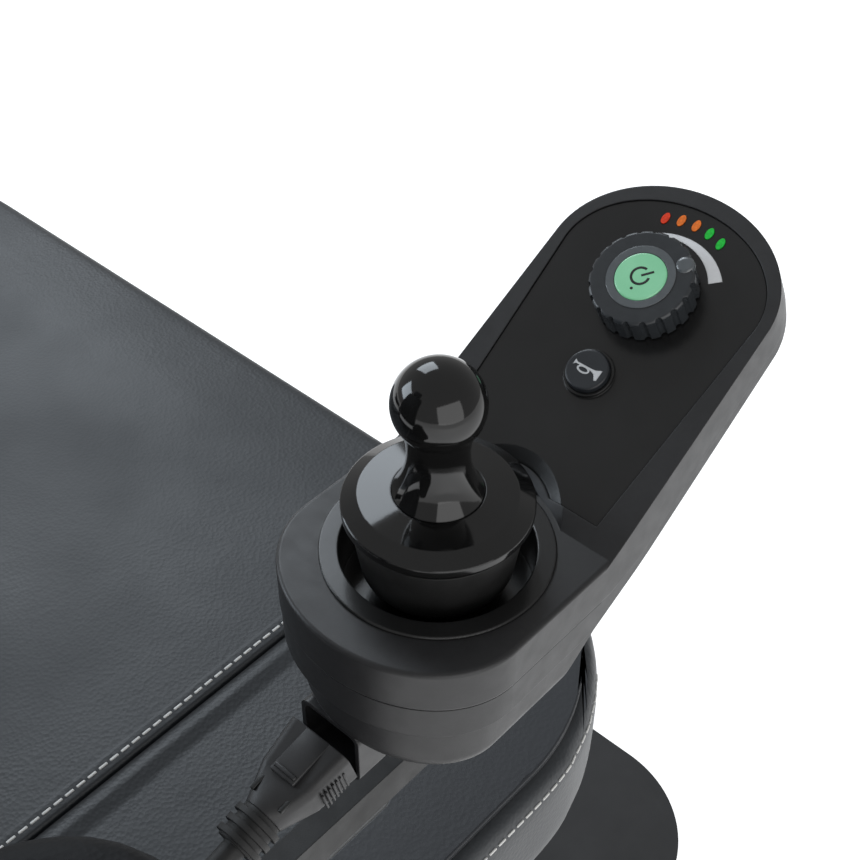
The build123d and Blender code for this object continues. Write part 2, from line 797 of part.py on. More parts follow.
head_low = back_height + headrest_gap
with BuildPart() as headrest_posts:
    for side in (-1, 1):
        with BuildSketch(Plane(
            origin=back_plane.from_local_coords((side * post_x, post_low, post_behind)),
            x_dir=(1, 0, 0),
            z_dir=back_plane.y_dir,
        )):
            Circle(post_radius)
        extrude(amount=head_low + 70 - post_low)
    with BuildSketch(back_plane.offset(post_behind - 3)):
        with Locations((0, head_low + 65)):
            RectangleRounded(2 * post_x + 30, 50, 6)
    extrude(amount=-back_pad_thick + 2 - post_behind + 3)
save(headrest_posts, "headrest_posts")

with BuildPart() as headrest_pad:
    with BuildSketch(back_plane.offset(-back_pad_thick + 2.2)):
        with Locations((0, head_low + headrest_height / 2)):
            RectangleRounded(2 * headrest_half_width, headrest_height, 45)
    extrude(amount=headrest_thick)
    head_front = headrest_pad.faces().sort_by(Axis((0, 0, 0), back_plane.z_dir))[-1]
    fillet(head_front.edges(), 18)
save(headrest_pad, "headrest_pad")

# ---- chassis ----
hub_z = drive_radius
gearbox_inner = rail_x + rail_width / 2
gearbox_outer = drive_inner_x - 6
with BuildPart() as chassis_frame:
    for side in (-1, 1):
        centre = side * rail_x
        box_between(
            (centre - rail_width / 2, rail_front_y, rail_low), (centre + rail_width / 2, rail_rear_y, rail_high)
        )
        box_between(
            (centre - rail_width / 2, 140, rail_high), (centre + rail_width / 2, caster_y + 20, beam_high)
        )
    for cross_y in (rail_front_y + 20, 150.0):
        box_between((-rail_x, cross_y - 15, rail_low), (rail_x, cross_y + 15, rail_low + 30))
    box_between((-caster_x - 26, caster_y - 20, beam_low), (caster_x + 26, caster_y + 20, beam_high))
    box_between((-rail_x, -160, rail_low - 4), (rail_x, 150, rail_low))
    for side in (-1, 1):
        rod_z(caster_stem_radius + running_gap, beam_low - 5, beam_high + 5, side * caster_x, caster_y, Mode.SUBTRACT)
    tie_radius = 11.0
    for side in (-1, 1):
        for eye_y, eye_z in ((rail_front_y - 14, rail_high - 18), (caster_y + 34, beam_low + 17)):
            eye_x = side * rail_x
            box_between((eye_x - 5, eye_y - 20, eye_z - 17), (eye_x + 5, eye_y + 20, eye_z + 17))
            rod_x(tie_radius, eye_x - 10, eye_x + 10, eye_y, eye_z, Mode.SUBTRACT)
save(chassis_frame, "chassis_frame")

battery_gap = 4.0
with BuildPart() as batteries:
    for index in (0, 1):
        start_y = -142 + index * (battery_length + battery_gap)
        box_between(
            (-battery_width / 2, start_y, rail_low),
            (battery_width / 2, start_y + battery_length, rail_low + battery_height),
        )
        for pole in (-70, 70):
            rod_z(7, rail_low + battery_height, rail_low + battery_height + 8, pole, start_y + 30)
save(batteries, "batteries")

with BuildPart() as power_module:
    box_between((-80, 172, rail_high - 30), (80, 262, rail_high + 25))
    for fin in range(8):
        box_between((-70 + fin * 19, 176, rail_high + 25), (-64 + fin * 19, 258, rail_high + 37))
save(power_module, "power_module")

shroud_wall = 3.0
shroud_half = rail_x - tower_size / 2 - 2
shroud_top = rail_low + battery_height + 22
with BuildPart() as shroud:
    with BuildSketch(Plane.XY.offset(rail_high)):
        with Locations((0, 30)):
            RectangleRounded(2 * shroud_half, 500, 40)
    extrude(amount=shroud_top - rail_high)
    fillet(shroud.faces().sort_by(Axis.Z)[-1].edges(), 12)
    with BuildSketch(Plane.XY.offset(rail_high - 1)):
        with Locations((0, 30)):
            RectangleRounded(2 * (shroud_half - shroud_wall), 500 - 2 * shroud_wall, 37)
    extrude(amount=shroud_top - rail_high + 1 - shroud_wall, mode=Mode.SUBTRACT)
save(shroud, "battery_shroud")


with BuildPart() as drive_motors:
    for side in (-1, 1):
        inner = min(side * gearbox_inner, side * gearbox_outer)
        outer = max(side * gearbox_inner, side * gearbox_outer)
        box_between((inner, drive_y - 46, hub_z - 42), (outer, drive_y + 46, hub_z + 42))
        rod_y(motor_radius, drive_y + 46, drive_y + 210, side * motor_x, hub_z)
        rod_y(motor_radius - 12, drive_y + 210, drive_y + 226, side * motor_x, hub_z)
        rod_z(
            5 + running_gap, hub_z + motor_radius - 12, hub_z + motor_radius + 5, side * motor_x,
            drive_y + 190, Mode.SUBTRACT,
        )
        bore_start = min(side * (gearbox_inner + 20), side * (gearbox_outer + 5))
        bore_end = max(side * (gearbox_inner + 20), side * (gearbox_outer + 5))
        rod_x(axle_radius + running_gap, bore_start, bore_end, drive_y, hub_z, Mode.SUBTRACT)
    fillet(drive_motors.edges().filter_by(Axis.X).filter_by(lambda edge: edge.length > 50), 14)
save(drive_motors, "drive_motors")


def drive_rim(side, name):
    """Make one drive wheel's rim with five openings, its hub and its axle."""
    mid = side * (drive_inner_x + drive_width / 2)
    with BuildPart() as rim:
        with BuildSketch(Plane(origin=(mid, drive_y, hub_z), x_dir=(0, 1, 0), z_dir=(1, 0, 0))):
            Circle(rim_radius)
            Circle(rim_radius - 9, mode=Mode.SUBTRACT)
        extrude(amount=(drive_width - 6) / 2, both=True)
        with BuildSketch(Plane(origin=(mid, drive_y, hub_z), x_dir=(0, 1, 0), z_dir=(1, 0, 0))):
            Circle(rim_radius - 5)
            with PolarLocations(72, 5):
                Circle(24, mode=Mode.SUBTRACT)
        extrude(amount=6, both=True)
        rod_x(30, mid - drive_width / 2 + 4, mid + drive_width / 2 - 4, drive_y, hub_z)
        axle_in = side * (gearbox_inner + 22)
        rod_x(axle_radius, min(axle_in, mid), max(axle_in, mid), drive_y, hub_z)
    save(rim, name)


def tyre(x_mid, y, outer_radius, inner_radius, width, name, round_edge):
    """Make one tyre round an X axle."""
    with BuildPart() as band:
        with BuildSketch(Plane(origin=(x_mid, y, outer_radius), x_dir=(0, 1, 0), z_dir=(1, 0, 0))):
            Circle(outer_radius)
            Circle(inner_radius, mode=Mode.SUBTRACT)
        extrude(amount=width / 2, both=True)
        rims = band.edges().filter_by(GeomType.CIRCLE)
        fillet(rims.filter_by(lambda edge: edge.radius > outer_radius - 0.01), round_edge)
    save(band, name)


def freewheel_lever(side, name):
    """Make one freewheel lever on top of its motor's end."""
    lever_y = drive_y + 190
    top = hub_z + motor_radius
    centre = side * motor_x
    with BuildPart() as lever:
        rod_z(5, top - 10, top + 6, centre, lever_y)
        box_between((centre - 6, lever_y - 8, top + 3), (centre + 6, lever_y + 52, top + 8))
        rod_z(9, top + 3, top + 14, centre, lever_y + 48)
    save(lever, name)


def caster(side, word):
    """Make one rear caster: fork, hub and tyre."""
    centre = side * caster_x
    wheel_y = caster_y + caster_trail
    cheek = caster_width / 2 + 4
    with BuildPart() as fork:
        rod_z(caster_stem_radius, 170, beam_high + 8, centre, caster_y)
        rod_z(20, 182, beam_low - 0.3, centre, caster_y)
        box_between((centre - cheek - 6, caster_y - 18, 170), (centre + cheek + 6, caster_y + 24, 184))
        for ear in (-1, 1):
            near = centre + ear * cheek
            outer_x = centre + ear * (cheek + 6)
            with BuildSketch(Plane(origin=(min(near, outer_x), 0, 0), x_dir=(0, 1, 0), z_dir=(1, 0, 0))) as outline:
                Polygon(
                    (caster_y - 18, 184), (caster_y - 18, 168), (wheel_y - 14, caster_radius),
                    (wheel_y, caster_radius - 14), (wheel_y + 14, caster_radius), (caster_y + 24, 184),
                    align=None,
                )
            extrude(outline.sketch, amount=6)
        rod_x(6, centre - cheek - 6, centre + cheek + 6, wheel_y, caster_radius)
    save(fork, f"caster_fork_{word}")
    with BuildPart() as hub:
        rod_x(50, centre - 14, centre + 14, wheel_y, caster_radius)
        rod_x(14, centre - cheek + 1, centre + cheek - 1, wheel_y, caster_radius)
        rod_x(6 + running_gap, centre - 40, centre + 40, wheel_y, caster_radius, Mode.SUBTRACT)
    save(hub, f"caster_hub_{word}")
    tyre(centre, wheel_y, caster_radius, 50, caster_width, f"caster_tyre_{word}", 10)


def tip_wheel(side, name):
    """Make one front anti-tip wheel."""
    centre = side * (rail_x + rail_width / 2 + 32)
    with BuildPart() as wheel:
        rod_x(tip_wheel_radius, centre - 15, centre + 15, tip_wheel_y, tip_wheel_radius)
        fillet(wheel.edges(), 5)
        rod_x(6 + running_gap, centre - 40, centre + 40, tip_wheel_y, tip_wheel_radius, Mode.SUBTRACT)
    save(wheel, name)


for side, word in ((-1, "right"), (1, "left")):
    freewheel_lever(side, f"freewheel_lever_{word}")
    drive_rim(side, f"drive_rim_{word}")
    wheel_mid = side * (drive_inner_x + drive_width / 2)
    tyre(wheel_mid, drive_y, drive_radius, rim_radius, drive_width, f"drive_tyre_{word}", 16)
    caster(side, word)
    tip_wheel(side, f"tip_wheel_{word}")

with BuildPart() as tip_arms:
    for side in (-1, 1):
        rail_side = side * (rail_x + rail_width / 2)
        arm_end = side * (rail_x + rail_width / 2 + 10)
        low_x = min(rail_side, arm_end)
        high_x = max(rail_side, arm_end)
        with BuildSketch(Plane(origin=(low_x, 0, 0), x_dir=(0, 1, 0), z_dir=(1, 0, 0))):
            Polygon(
                (-150, rail_low), (-150, rail_high), (-200, rail_high), (tip_wheel_y - 16, tip_wheel_radius + 10),
                (tip_wheel_y - 12, tip_wheel_radius - 14), (tip_wheel_y + 12, tip_wheel_radius - 14),
                align=None,
            )
        extrude(amount=high_x - low_x)
        axle_end = side * (rail_x + rail_width / 2 + 32 + 22)
        rod_x(6, min(low_x, axle_end), max(high_x, axle_end), tip_wheel_y, tip_wheel_radius)
        rod_x(11, min(axle_end, axle_end - side * 5), max(axle_end, axle_end - side * 5), tip_wheel_y, tip_wheel_radius)
save(tip_arms, "tip_wheel_arms")

# ---- footplate ----
foot_ear_x = 60.0
foot_boss_radius = 11.0
foot_pivot_z = foot_top - foot_thick
with BuildPart() as footplate:
    with BuildSketch(Plane.XY.offset(foot_top - foot_thick)):
        foot_length = foot_pivot_y - 14 - foot_front_y
        with Locations((0, foot_front_y + foot_length / 2)):
            Rectangle(2 * foot_half_width, foot_length)
    extrude(amount=foot_thick)
    fillet(footplate.edges().filter_by(Axis.Z).group_by(Axis.Y)[0], foot_corner)
    fillet(footplate.edges().filter_by(Axis.Z).group_by(Axis.Y)[-1], 12)
    for side in (-1, 1):
        centre = side * foot_ear_x
        rod_x(foot_boss_radius, centre - 20, centre + 20, foot_pivot_y, foot_pivot_z)
        box_between((centre - 20, foot_pivot_y - 40, foot_pivot_z - 8), (centre + 20, foot_pivot_y, foot_pivot_z))
    rod_x(foot_pin_radius + running_gap, -200, 200, foot_pivot_y, foot_pivot_z, Mode.SUBTRACT)
save(footplate, "footplate")

foot_bracket_half = 12.0
with BuildPart() as foot_bracket:
    rod_x(foot_bracket_half, -22, 22, foot_pivot_y, foot_pivot_z)
    box_between(
        (-22, foot_pivot_y, foot_pivot_z - foot_bracket_half),
        (22, rail_front_y + 5, foot_pivot_z + foot_bracket_half),
    )
    box_between(
        (-22, rail_front_y - 25, foot_pivot_z - foot_bracket_half), (22, rail_front_y + 5, rail_low + 30)
    )
    rod_x(foot_pin_radius, -200, 200, foot_pivot_y, foot_pivot_z, Mode.SUBTRACT)
save(foot_bracket, "footplate_bracket")

head_thick = 4.0


def headed_pin(centre, half_length, radius, y, z):
    """Add one cross pin with a head at each end."""
    rod_x(radius, centre - half_length - 1, centre + half_length + 1, y, z)
    for ear in (-1, 1):
        near = centre + ear * (half_length + 0.1)
        outer = centre + ear * (half_length + 0.1 + head_thick)
        rod_x(radius + 4, min(near, outer), max(near, outer), y, z)


with BuildPart() as pivot_pins:
    for side in (-1, 1):
        headed_pin(side * hinge_x, hinge_half + hinge_ear, back_pin_radius, back_pivot_y, back_pivot_z)
        headed_pin(side * arm_centre_x, arm_boss_half + ear_thick, arm_pin_radius, arm_pivot_y, arm_tube_z)
    rod_x(foot_pin_radius, -foot_ear_x - 26, foot_ear_x + 26, foot_pivot_y, foot_pivot_z)
save(pivot_pins, "pivot_pins")

bolt_radius = 6.5
with BuildPart() as chassis_bolts:
    for side in (-1, 1):
        face_x = side * (rail_x + rail_width / 2)
        tip_x = side * (rail_x + rail_width / 2 + 5.5)
        for bolt_y in (rail_front_y + 20, 205.0):
            with BuildSketch(Plane(origin=(min(face_x, tip_x), bolt_y, rail_low + 25), z_dir=(1, 0, 0))):
                RegularPolygon(bolt_radius, 6)
            extrude(amount=abs(tip_x - face_x))
save(chassis_bolts, "chassis_bolts")
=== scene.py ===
import json
import math
import bpy
from mathutils import Vector, Matrix


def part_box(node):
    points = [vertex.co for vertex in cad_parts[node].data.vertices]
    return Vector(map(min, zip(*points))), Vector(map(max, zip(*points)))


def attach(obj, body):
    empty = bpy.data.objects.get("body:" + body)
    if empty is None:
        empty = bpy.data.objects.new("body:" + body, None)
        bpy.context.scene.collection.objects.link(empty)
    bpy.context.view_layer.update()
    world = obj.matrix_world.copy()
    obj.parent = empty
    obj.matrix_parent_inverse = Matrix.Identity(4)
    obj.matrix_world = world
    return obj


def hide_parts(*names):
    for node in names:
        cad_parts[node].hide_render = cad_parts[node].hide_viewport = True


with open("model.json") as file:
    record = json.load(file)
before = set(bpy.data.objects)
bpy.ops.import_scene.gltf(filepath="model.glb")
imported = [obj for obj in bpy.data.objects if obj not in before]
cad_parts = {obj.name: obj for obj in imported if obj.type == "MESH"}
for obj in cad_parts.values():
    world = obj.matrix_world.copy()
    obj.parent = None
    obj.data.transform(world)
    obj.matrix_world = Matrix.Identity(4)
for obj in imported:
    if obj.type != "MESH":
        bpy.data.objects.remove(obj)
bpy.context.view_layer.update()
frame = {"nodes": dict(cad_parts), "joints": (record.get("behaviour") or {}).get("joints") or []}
nodes = frame["nodes"]
scene = bpy.context.scene
print("stage: frame loaded")

# where the controller sits, read from the frame
bezelLow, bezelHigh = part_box("joystick_bezel")
joints = {joint["name"]: joint for joint in frame["joints"]}
stickPivot = Vector(joints["joystick_fore_aft"]["pos_m"])
knobPlace = Vector(joints["speed_knob_turn"]["pos_m"])
panelUp = Vector(joints["speed_knob_turn"]["axis"]).normalized()
ringCentre = Vector((stickPivot.x, stickPivot.y, bezelHigh.z - 0.0009))
panelRight = Vector((-1, 0, 0))
panelFar = panelUp.cross(panelRight).normalized()
mm = 0.001
knobReach = 69.9  # knob's distance up the panel, mm


def panelPoint(across, along, lift):
    return knobPlace + panelRight * across * mm + panelFar * (along - knobReach) * mm + panelUp * lift * mm


# small helpers for modelling
def deselectAll():
    if bpy.context.mode != "OBJECT":
        bpy.ops.object.mode_set(mode="OBJECT")
    bpy.ops.object.select_all(action="DESELECT")


def makeActive(piece):
    deselectAll()
    piece.select_set(True)
    bpy.context.view_layer.objects.active = piece


def settlePlace(piece):
    makeActive(piece)
    bpy.ops.object.transform_apply(location=True, rotation=True, scale=True)


def joinPieces(pieces, name):
    deselectAll()
    for piece in pieces:
        piece.select_set(True)
    bpy.context.view_layer.objects.active = pieces[0]
    bpy.ops.object.join()
    joined = bpy.context.object
    joined.name = name
    joined.data.name = name
    return joined


def applyModifiers(piece):
    makeActive(piece)
    for modifier in list(piece.modifiers):
        bpy.ops.object.modifier_apply(modifier=modifier.name)


def smoothShade(piece, angle=35):
    makeActive(piece)
    bpy.ops.object.shade_smooth_by_angle(angle=math.radians(angle))


def axesMatrix(right, far, up, place):
    turn = Matrix((right, far, up)).transposed().to_4x4()
    return Matrix.Translation(place) @ turn


# finishes: two close tints, a roughness that varies and a fine grain
looks = {
    "satinShell": {"base": (0.012, 0.012, 0.013), "other": (0.018, 0.018, 0.019), "grain": 900, "rough": (0.36, 0.44),
                   "bump": 0.05, "bumpGrain": 2600},
    "glossFace": {"base": (0.008, 0.008, 0.008), "other": (0.012, 0.012, 0.012), "grain": 120, "rough": (0.20, 0.27),
                  "bump": 0.02, "bumpGrain": 900},
    "pianoBlack": {"base": (0.004, 0.004, 0.004), "other": (0.007, 0.007, 0.007), "grain": 160, "rough": (0.05, 0.09),
                   "bump": 0.008, "bumpGrain": 300, "coat": 0.08},
    # knobBlack is a dark grey made lighter and bluer so the knob's top shows the window reflection: partly painted
    # reflection
    "knobBlack": {"base": (0.022, 0.025, 0.028), "other": (0.034, 0.038, 0.042), "grain": 400, "rough": (0.20, 0.27),
                  "bump": 0.02, "bumpGrain": 1800},
    "litGreen": {"base": (0.14, 0.34, 0.21), "other": (0.24, 0.46, 0.32), "grain": 110, "rough": (0.22, 0.3),
                 "bump": 0.01, "bumpGrain": 900, "glow": (0.22, 0.78, 0.38), "glowPower": 0.26, "coat": 0.6},
    "slateButton": {"base": (0.012, 0.014, 0.017), "other": (0.018, 0.021, 0.025), "grain": 500, "rough": (0.32, 0.4),
                    "bump": 0.02, "bumpGrain": 1800},
    "boardGreen": {"base": (0.010, 0.070, 0.030), "other": (0.014, 0.090, 0.040), "grain": 300, "rough": (0.4, 0.5),
                   "bump": 0.05, "bumpGrain": 1200},
    "greyMoulding": {"base": (0.012, 0.012, 0.013), "other": (0.020, 0.020, 0.021), "grain": 600, "rough": (0.38, 0.5),
                     "bump": 0.06, "bumpGrain": 2200},
    "brightSteel": {"base": (0.52, 0.52, 0.53), "other": (0.62, 0.62, 0.63), "grain": 220, "rough": (0.2, 0.34),
                    "metal": 1.0, "bump": 0.02, "bumpGrain": 1400},
    "softRubber": {"base": (0.005, 0.005, 0.005), "other": (0.009, 0.009, 0.009), "grain": 500, "rough": (0.48, 0.62),
                   "bump": 0.08, "bumpGrain": 1800},
    "blackSteel": {"base": (0.012, 0.012, 0.013), "other": (0.020, 0.020, 0.021), "grain": 260, "rough": (0.34, 0.48),
                   "bump": 0.06, "bumpGrain": 1500},
    "graphiteSteel": {"base": (0.045, 0.048, 0.053), "other": (0.062, 0.066, 0.072), "grain": 180, "rough": (0.32, 0.46),
                      "metal": 0.5, "bump": 0.05, "bumpGrain": 1300},
    "castMetal": {"base": (0.20, 0.205, 0.21), "other": (0.28, 0.285, 0.29), "grain": 150, "rough": (0.38, 0.55),
                  "metal": 0.9, "bump": 0.12, "bumpGrain": 900},
    "batteryGrey": {"base": (0.050, 0.052, 0.055), "other": (0.065, 0.067, 0.070), "grain": 130, "rough": (0.45, 0.6),
                    "bump": 0.08, "bumpGrain": 700},
    "shroudBlack": {"base": (0.014, 0.014, 0.016), "other": (0.022, 0.022, 0.025), "grain": 140, "rough": (0.38, 0.5),
                    "bump": 0.08, "bumpGrain": 1500},
    "rimGrey": {"base": (0.10, 0.105, 0.11), "other": (0.14, 0.145, 0.15), "grain": 200, "rough": (0.26, 0.4),
                "metal": 0.7, "bump": 0.03, "bumpGrain": 1100},
    "tyreRubber": {"base": (0.014, 0.014, 0.014), "other": (0.024, 0.024, 0.023), "grain": 90, "rough": (0.68, 0.84),
                   "bump": 0.14, "bumpGrain": 700},
    "leverRed": {"base": (0.42, 0.020, 0.014), "other": (0.50, 0.030, 0.020), "grain": 240, "rough": (0.36, 0.46),
                 "bump": 0.05, "bumpGrain": 1400},
    "footplateGrey": {"base": (0.020, 0.020, 0.021), "other": (0.028, 0.028, 0.029), "grain": 110, "rough": (0.5, 0.62),
                      "bump": 0.16, "bumpGrain": 1500},
    "shellPlastic": {"base": (0.016, 0.016, 0.018), "other": (0.024, 0.024, 0.027), "grain": 180, "rough": (0.4, 0.52),
                     "bump": 0.10, "bumpGrain": 1700},
    "chromePost": {"base": (0.62, 0.63, 0.65), "other": (0.70, 0.71, 0.73), "grain": 140, "rough": (0.08, 0.16),
                   "metal": 1.0, "bump": 0.01, "bumpGrain": 900},
    "whiteThread": {"base": (0.78, 0.78, 0.76), "other": (0.60, 0.60, 0.58), "grain": 2600, "rough": (0.6, 0.75),
                    "bump": 0.25, "bumpGrain": 6000},
    "whiteInk": {"base": (0.78, 0.79, 0.80), "other": (0.70, 0.71, 0.72), "grain": 900, "rough": (0.4, 0.5),
                 "bump": 0.02, "bumpGrain": 2500},
    "greyInk": {"base": (0.52, 0.53, 0.54), "other": (0.62, 0.63, 0.64), "grain": 900, "rough": (0.4, 0.5),
                "bump": 0.02, "bumpGrain": 2500},
    "blackInk": {"base": (0.004, 0.005, 0.005), "other": (0.008, 0.009, 0.009), "grain": 900, "rough": (0.35, 0.45),
                 "bump": 0.02, "bumpGrain": 2500},
    "smokyLens": {"base": (0.070, 0.080, 0.088), "other": (0.105, 0.118, 0.126), "grain": 420, "rough": (0.10, 0.18),
                  "bump": 0.02, "bumpGrain": 900, "coat": 0.6},
}
materials = {}
plainShine = 0.5


def blankMaterial(name):
    material = bpy.data.materials.new(name)
    material.use_nodes = True
    tree = material.node_tree
    materials[name] = material
    return tree, tree.nodes["Principled BSDF"], tree.nodes.new("ShaderNodeTexCoord").outputs["Object"]


def addTexture(tree, kind, place, scale, detail=None):
    texture = tree.nodes.new(kind)
    texture.inputs["Scale"].default_value = scale
    if detail is not None:
        texture.inputs["Detail"].default_value = detail
    tree.links.new(place, texture.inputs["Vector"])
    return texture


def tintBetween(tree, shader, factor, first, second):
    colours = tree.nodes.new("ShaderNodeMix")
    colours.data_type = "RGBA"
    colours.inputs["A"].default_value = (*first, 1)
    colours.inputs["B"].default_value = (*second, 1)
    tree.links.new(factor, colours.inputs["Factor"])
    tree.links.new(colours.outputs["Result"], shader.inputs["Base Color"])


def roughBetween(tree, shader, factor, span, rough):
    spread = tree.nodes.new("ShaderNodeMapRange")
    spread.inputs["From Min"].default_value, spread.inputs["From Max"].default_value = span
    spread.inputs["To Min"].default_value, spread.inputs["To Max"].default_value = rough
    tree.links.new(factor, spread.inputs["Value"])
    tree.links.new(spread.outputs["Result"], shader.inputs["Roughness"])


def addBump(tree, height, strength, distance, under):
    bump = tree.nodes.new("ShaderNodeBump")
    bump.inputs["Strength"].default_value = strength
    bump.inputs["Distance"].default_value = distance
    tree.links.new(height, bump.inputs["Height"])
    if under:
        tree.links.new(under, bump.inputs["Normal"])
    return bump.outputs["Normal"]


def makeMaterial(name, look):
    tree, shader, place = blankMaterial(name)
    tint = addTexture(tree, "ShaderNodeTexNoise", place, look["grain"], 4)
    tintBetween(tree, shader, tint.outputs["Fac"], look["base"], look["other"])
    wear = addTexture(tree, "ShaderNodeTexNoise", place, look["grain"] * 0.21, 3)
    roughBetween(tree, shader, wear.outputs["Fac"], (0.3, 0.7), look["rough"])
    fine = addTexture(tree, "ShaderNodeTexNoise", place, look["bumpGrain"], 2)
    softEdge = tree.nodes.new("ShaderNodeBevel")
    softEdge.samples = 4
    softEdge.inputs["Radius"].default_value = 0.0005
    grain = addBump(tree, fine.outputs["Fac"], look["bump"], 0.0004, softEdge.outputs["Normal"])
    tree.links.new(grain, shader.inputs["Normal"])
    shader.inputs["Metallic"].default_value = look.get("metal", 0)
    shader.inputs["Coat Weight"].default_value = look.get("coat", 0)
    shader.inputs["Coat Roughness"].default_value = 0.04
    if "glow" in look:
        shader.inputs["Emission Color"].default_value = (*look["glow"], 1)
        shader.inputs["Emission Strength"].default_value = look["glowPower"]
    return tree, shader


for lookName, lookSettings in looks.items():
    makeMaterial(lookName, lookSettings)


# leather: pebbled grain, faint creases and a lighter bloom
leather = {"deep": (0.013, 0.016, 0.019), "worn": (0.024, 0.028, 0.033), "cloud": 9, "pebble": 620, "crease": 34,
           "rough": (0.44, 0.56), "pebbleBump": 0.20, "creaseBump": 0.08, "sheen": 0.10}


def makeLeather(name, settings):
    tree, shader, place = blankMaterial(name)
    cloud = addTexture(tree, "ShaderNodeTexNoise", place, settings["cloud"], 6)
    tintBetween(tree, shader, cloud.outputs["Fac"], settings["deep"], settings["worn"])
    roughBetween(tree, shader, cloud.outputs["Fac"], (0.35, 0.65), settings["rough"])
    pebble = addTexture(tree, "ShaderNodeTexVoronoi", place, settings["pebble"])
    crease = addTexture(tree, "ShaderNodeTexNoise", place, settings["crease"], 8)
    crease.inputs["Distortion"].default_value = 0.8
    folds = addBump(tree, crease.outputs["Fac"], settings["creaseBump"], 0.004, None)
    grain = addBump(tree, pebble.outputs["Distance"], settings["pebbleBump"], 0.0005, folds)
    tree.links.new(grain, shader.inputs["Normal"])
    shader.inputs["Sheen Weight"].default_value = settings["sheen"]
    shader.inputs["Sheen Roughness"].default_value = 0.4
    shader.inputs["Specular IOR Level"].default_value = settings.get("shine", plainShine)


makeLeather("slateLeather", leather)
makeLeather("smoothLeather", {**leather, "pebbleBump": 0.08, "creaseBump": 0.04, "deep": (0.016, 0.018, 0.022),
                              "worn": (0.024, 0.027, 0.032)})
makeLeather("padSkin", {**leather, "deep": (0.004, 0.004, 0.005), "worn": (0.007, 0.008, 0.009), "pebble": 520,
                        "rough": (0.52, 0.62), "pebbleBump": 0.26, "creaseBump": 0.01, "sheen": 0.0,
                        "shine": 0.16})

# battery lights: one lens material that changes colour from light to light
lensRow = {"redEnd": 0.2, "amberEnd": 0.6, "dots": 1300, "glow": 0.26, "red": (0.62, 0.040, 0.012, 1),
           "amber": (0.66, 0.15, 0.02, 1), "green": (0.01, 0.42, 0.04, 1)}


def makeLensMaterial(settings):
    low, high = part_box("battery_gauge_lights")
    tree, shader, place = blankMaterial("gaugeLens")
    split = tree.nodes.new("ShaderNodeSeparateXYZ")
    tree.links.new(place, split.inputs["Vector"])
    along = tree.nodes.new("ShaderNodeMapRange")
    along.inputs["From Min"].default_value = high.x
    along.inputs["From Max"].default_value = low.x
    tree.links.new(split.outputs["X"], along.inputs["Value"])
    ramp = tree.nodes.new("ShaderNodeValToRGB")
    ramp.color_ramp.interpolation = "CONSTANT"
    ramp.color_ramp.elements[0].color = settings["red"]
    ramp.color_ramp.elements[1].position = settings["redEnd"]
    ramp.color_ramp.elements[1].color = settings["amber"]
    ramp.color_ramp.elements.new(settings["amberEnd"]).color = settings["green"]
    tree.links.new(along.outputs["Result"], ramp.inputs["Fac"])
    dots = addTexture(tree, "ShaderNodeTexVoronoi", place, settings["dots"])
    near = tree.nodes.new("ShaderNodeMapRange")
    near.inputs["From Max"].default_value = 0.7
    near.inputs["To Min"].default_value = settings["glow"] * 1.6
    near.inputs["To Max"].default_value = settings["glow"] * 0.25
    tree.links.new(dots.outputs["Distance"], near.inputs["Value"])
    tree.links.new(ramp.outputs["Color"], shader.inputs["Base Color"])
    tree.links.new(ramp.outputs["Color"], shader.inputs["Emission Color"])
    tree.links.new(near.outputs["Result"], shader.inputs["Emission Strength"])
    shader.inputs["Roughness"].default_value = 0.2


makeLensMaterial(lensRow)

finishes = {
    "satinShell": "controller_upper_shell controller_lower_shell",
    "glossFace": "controller_faceplate joystick_bezel",
    "pianoBlack": "joystick_knob joystick_disc",
    # controller_mount takes this black matte finish so it reads as the dark shaded gap beside the seat's side panel:
    # painted shade
    "softRubber": "joystick_boot plug_strain_relief controller_cable handle_grips controller_mount",
    "knobBlack": "speed_knob",
    "litGreen": "power_button",
    "slateButton": "horn_button",
    "gaugeLens": "battery_gauge_lights",
    "boardGreen": "controller_circuit_board",
    "greyMoulding": "controller_plug gimbal_housing gimbal_yoke",
    "brightSteel": "joystick_shaft pivot_pins chassis_bolts",
    "blackSteel": "armrest_tube_left armrest_tube_right push_handles seat_pan tip_wheel_arms "
                  "headrest_sleeve backrest_hinges",
    "graphiteSteel": "armrest_posts backrest_brackets seat_frame chassis_frame footplate_bracket caster_fork_left "
                     "caster_fork_right",
    "shellPlastic": "backrest_shell",
    "chromePost": "headrest_posts",
    "batteryGrey": "batteries power_module",
    "shroudBlack": "battery_shroud",
    "castMetal": "drive_motors",
    "rimGrey": "drive_rim_left drive_rim_right caster_hub_left caster_hub_right",
    "tyreRubber": "drive_tyre_left drive_tyre_right caster_tyre_left caster_tyre_right tip_wheel_left tip_wheel_right",
    "leverRed": "freewheel_lever_left freewheel_lever_right",
    "footplateGrey": "footplate",
    "slateLeather": "seat_cushion backrest_cushion headrest_pad",
    "padSkin": "armrest_pad_left armrest_pad_right",
}


def dress(piece, materialName):
    piece.data.materials.clear()
    piece.data.materials.append(materials[materialName])


dressed = set()
for finishName, nodeNames in finishes.items():
    for nodeName in nodeNames.split():
        dress(nodes[nodeName], finishName)
        dressed.add(nodeName)
print("stage: materials; nodes without one:", sorted(set(nodes) - dressed))


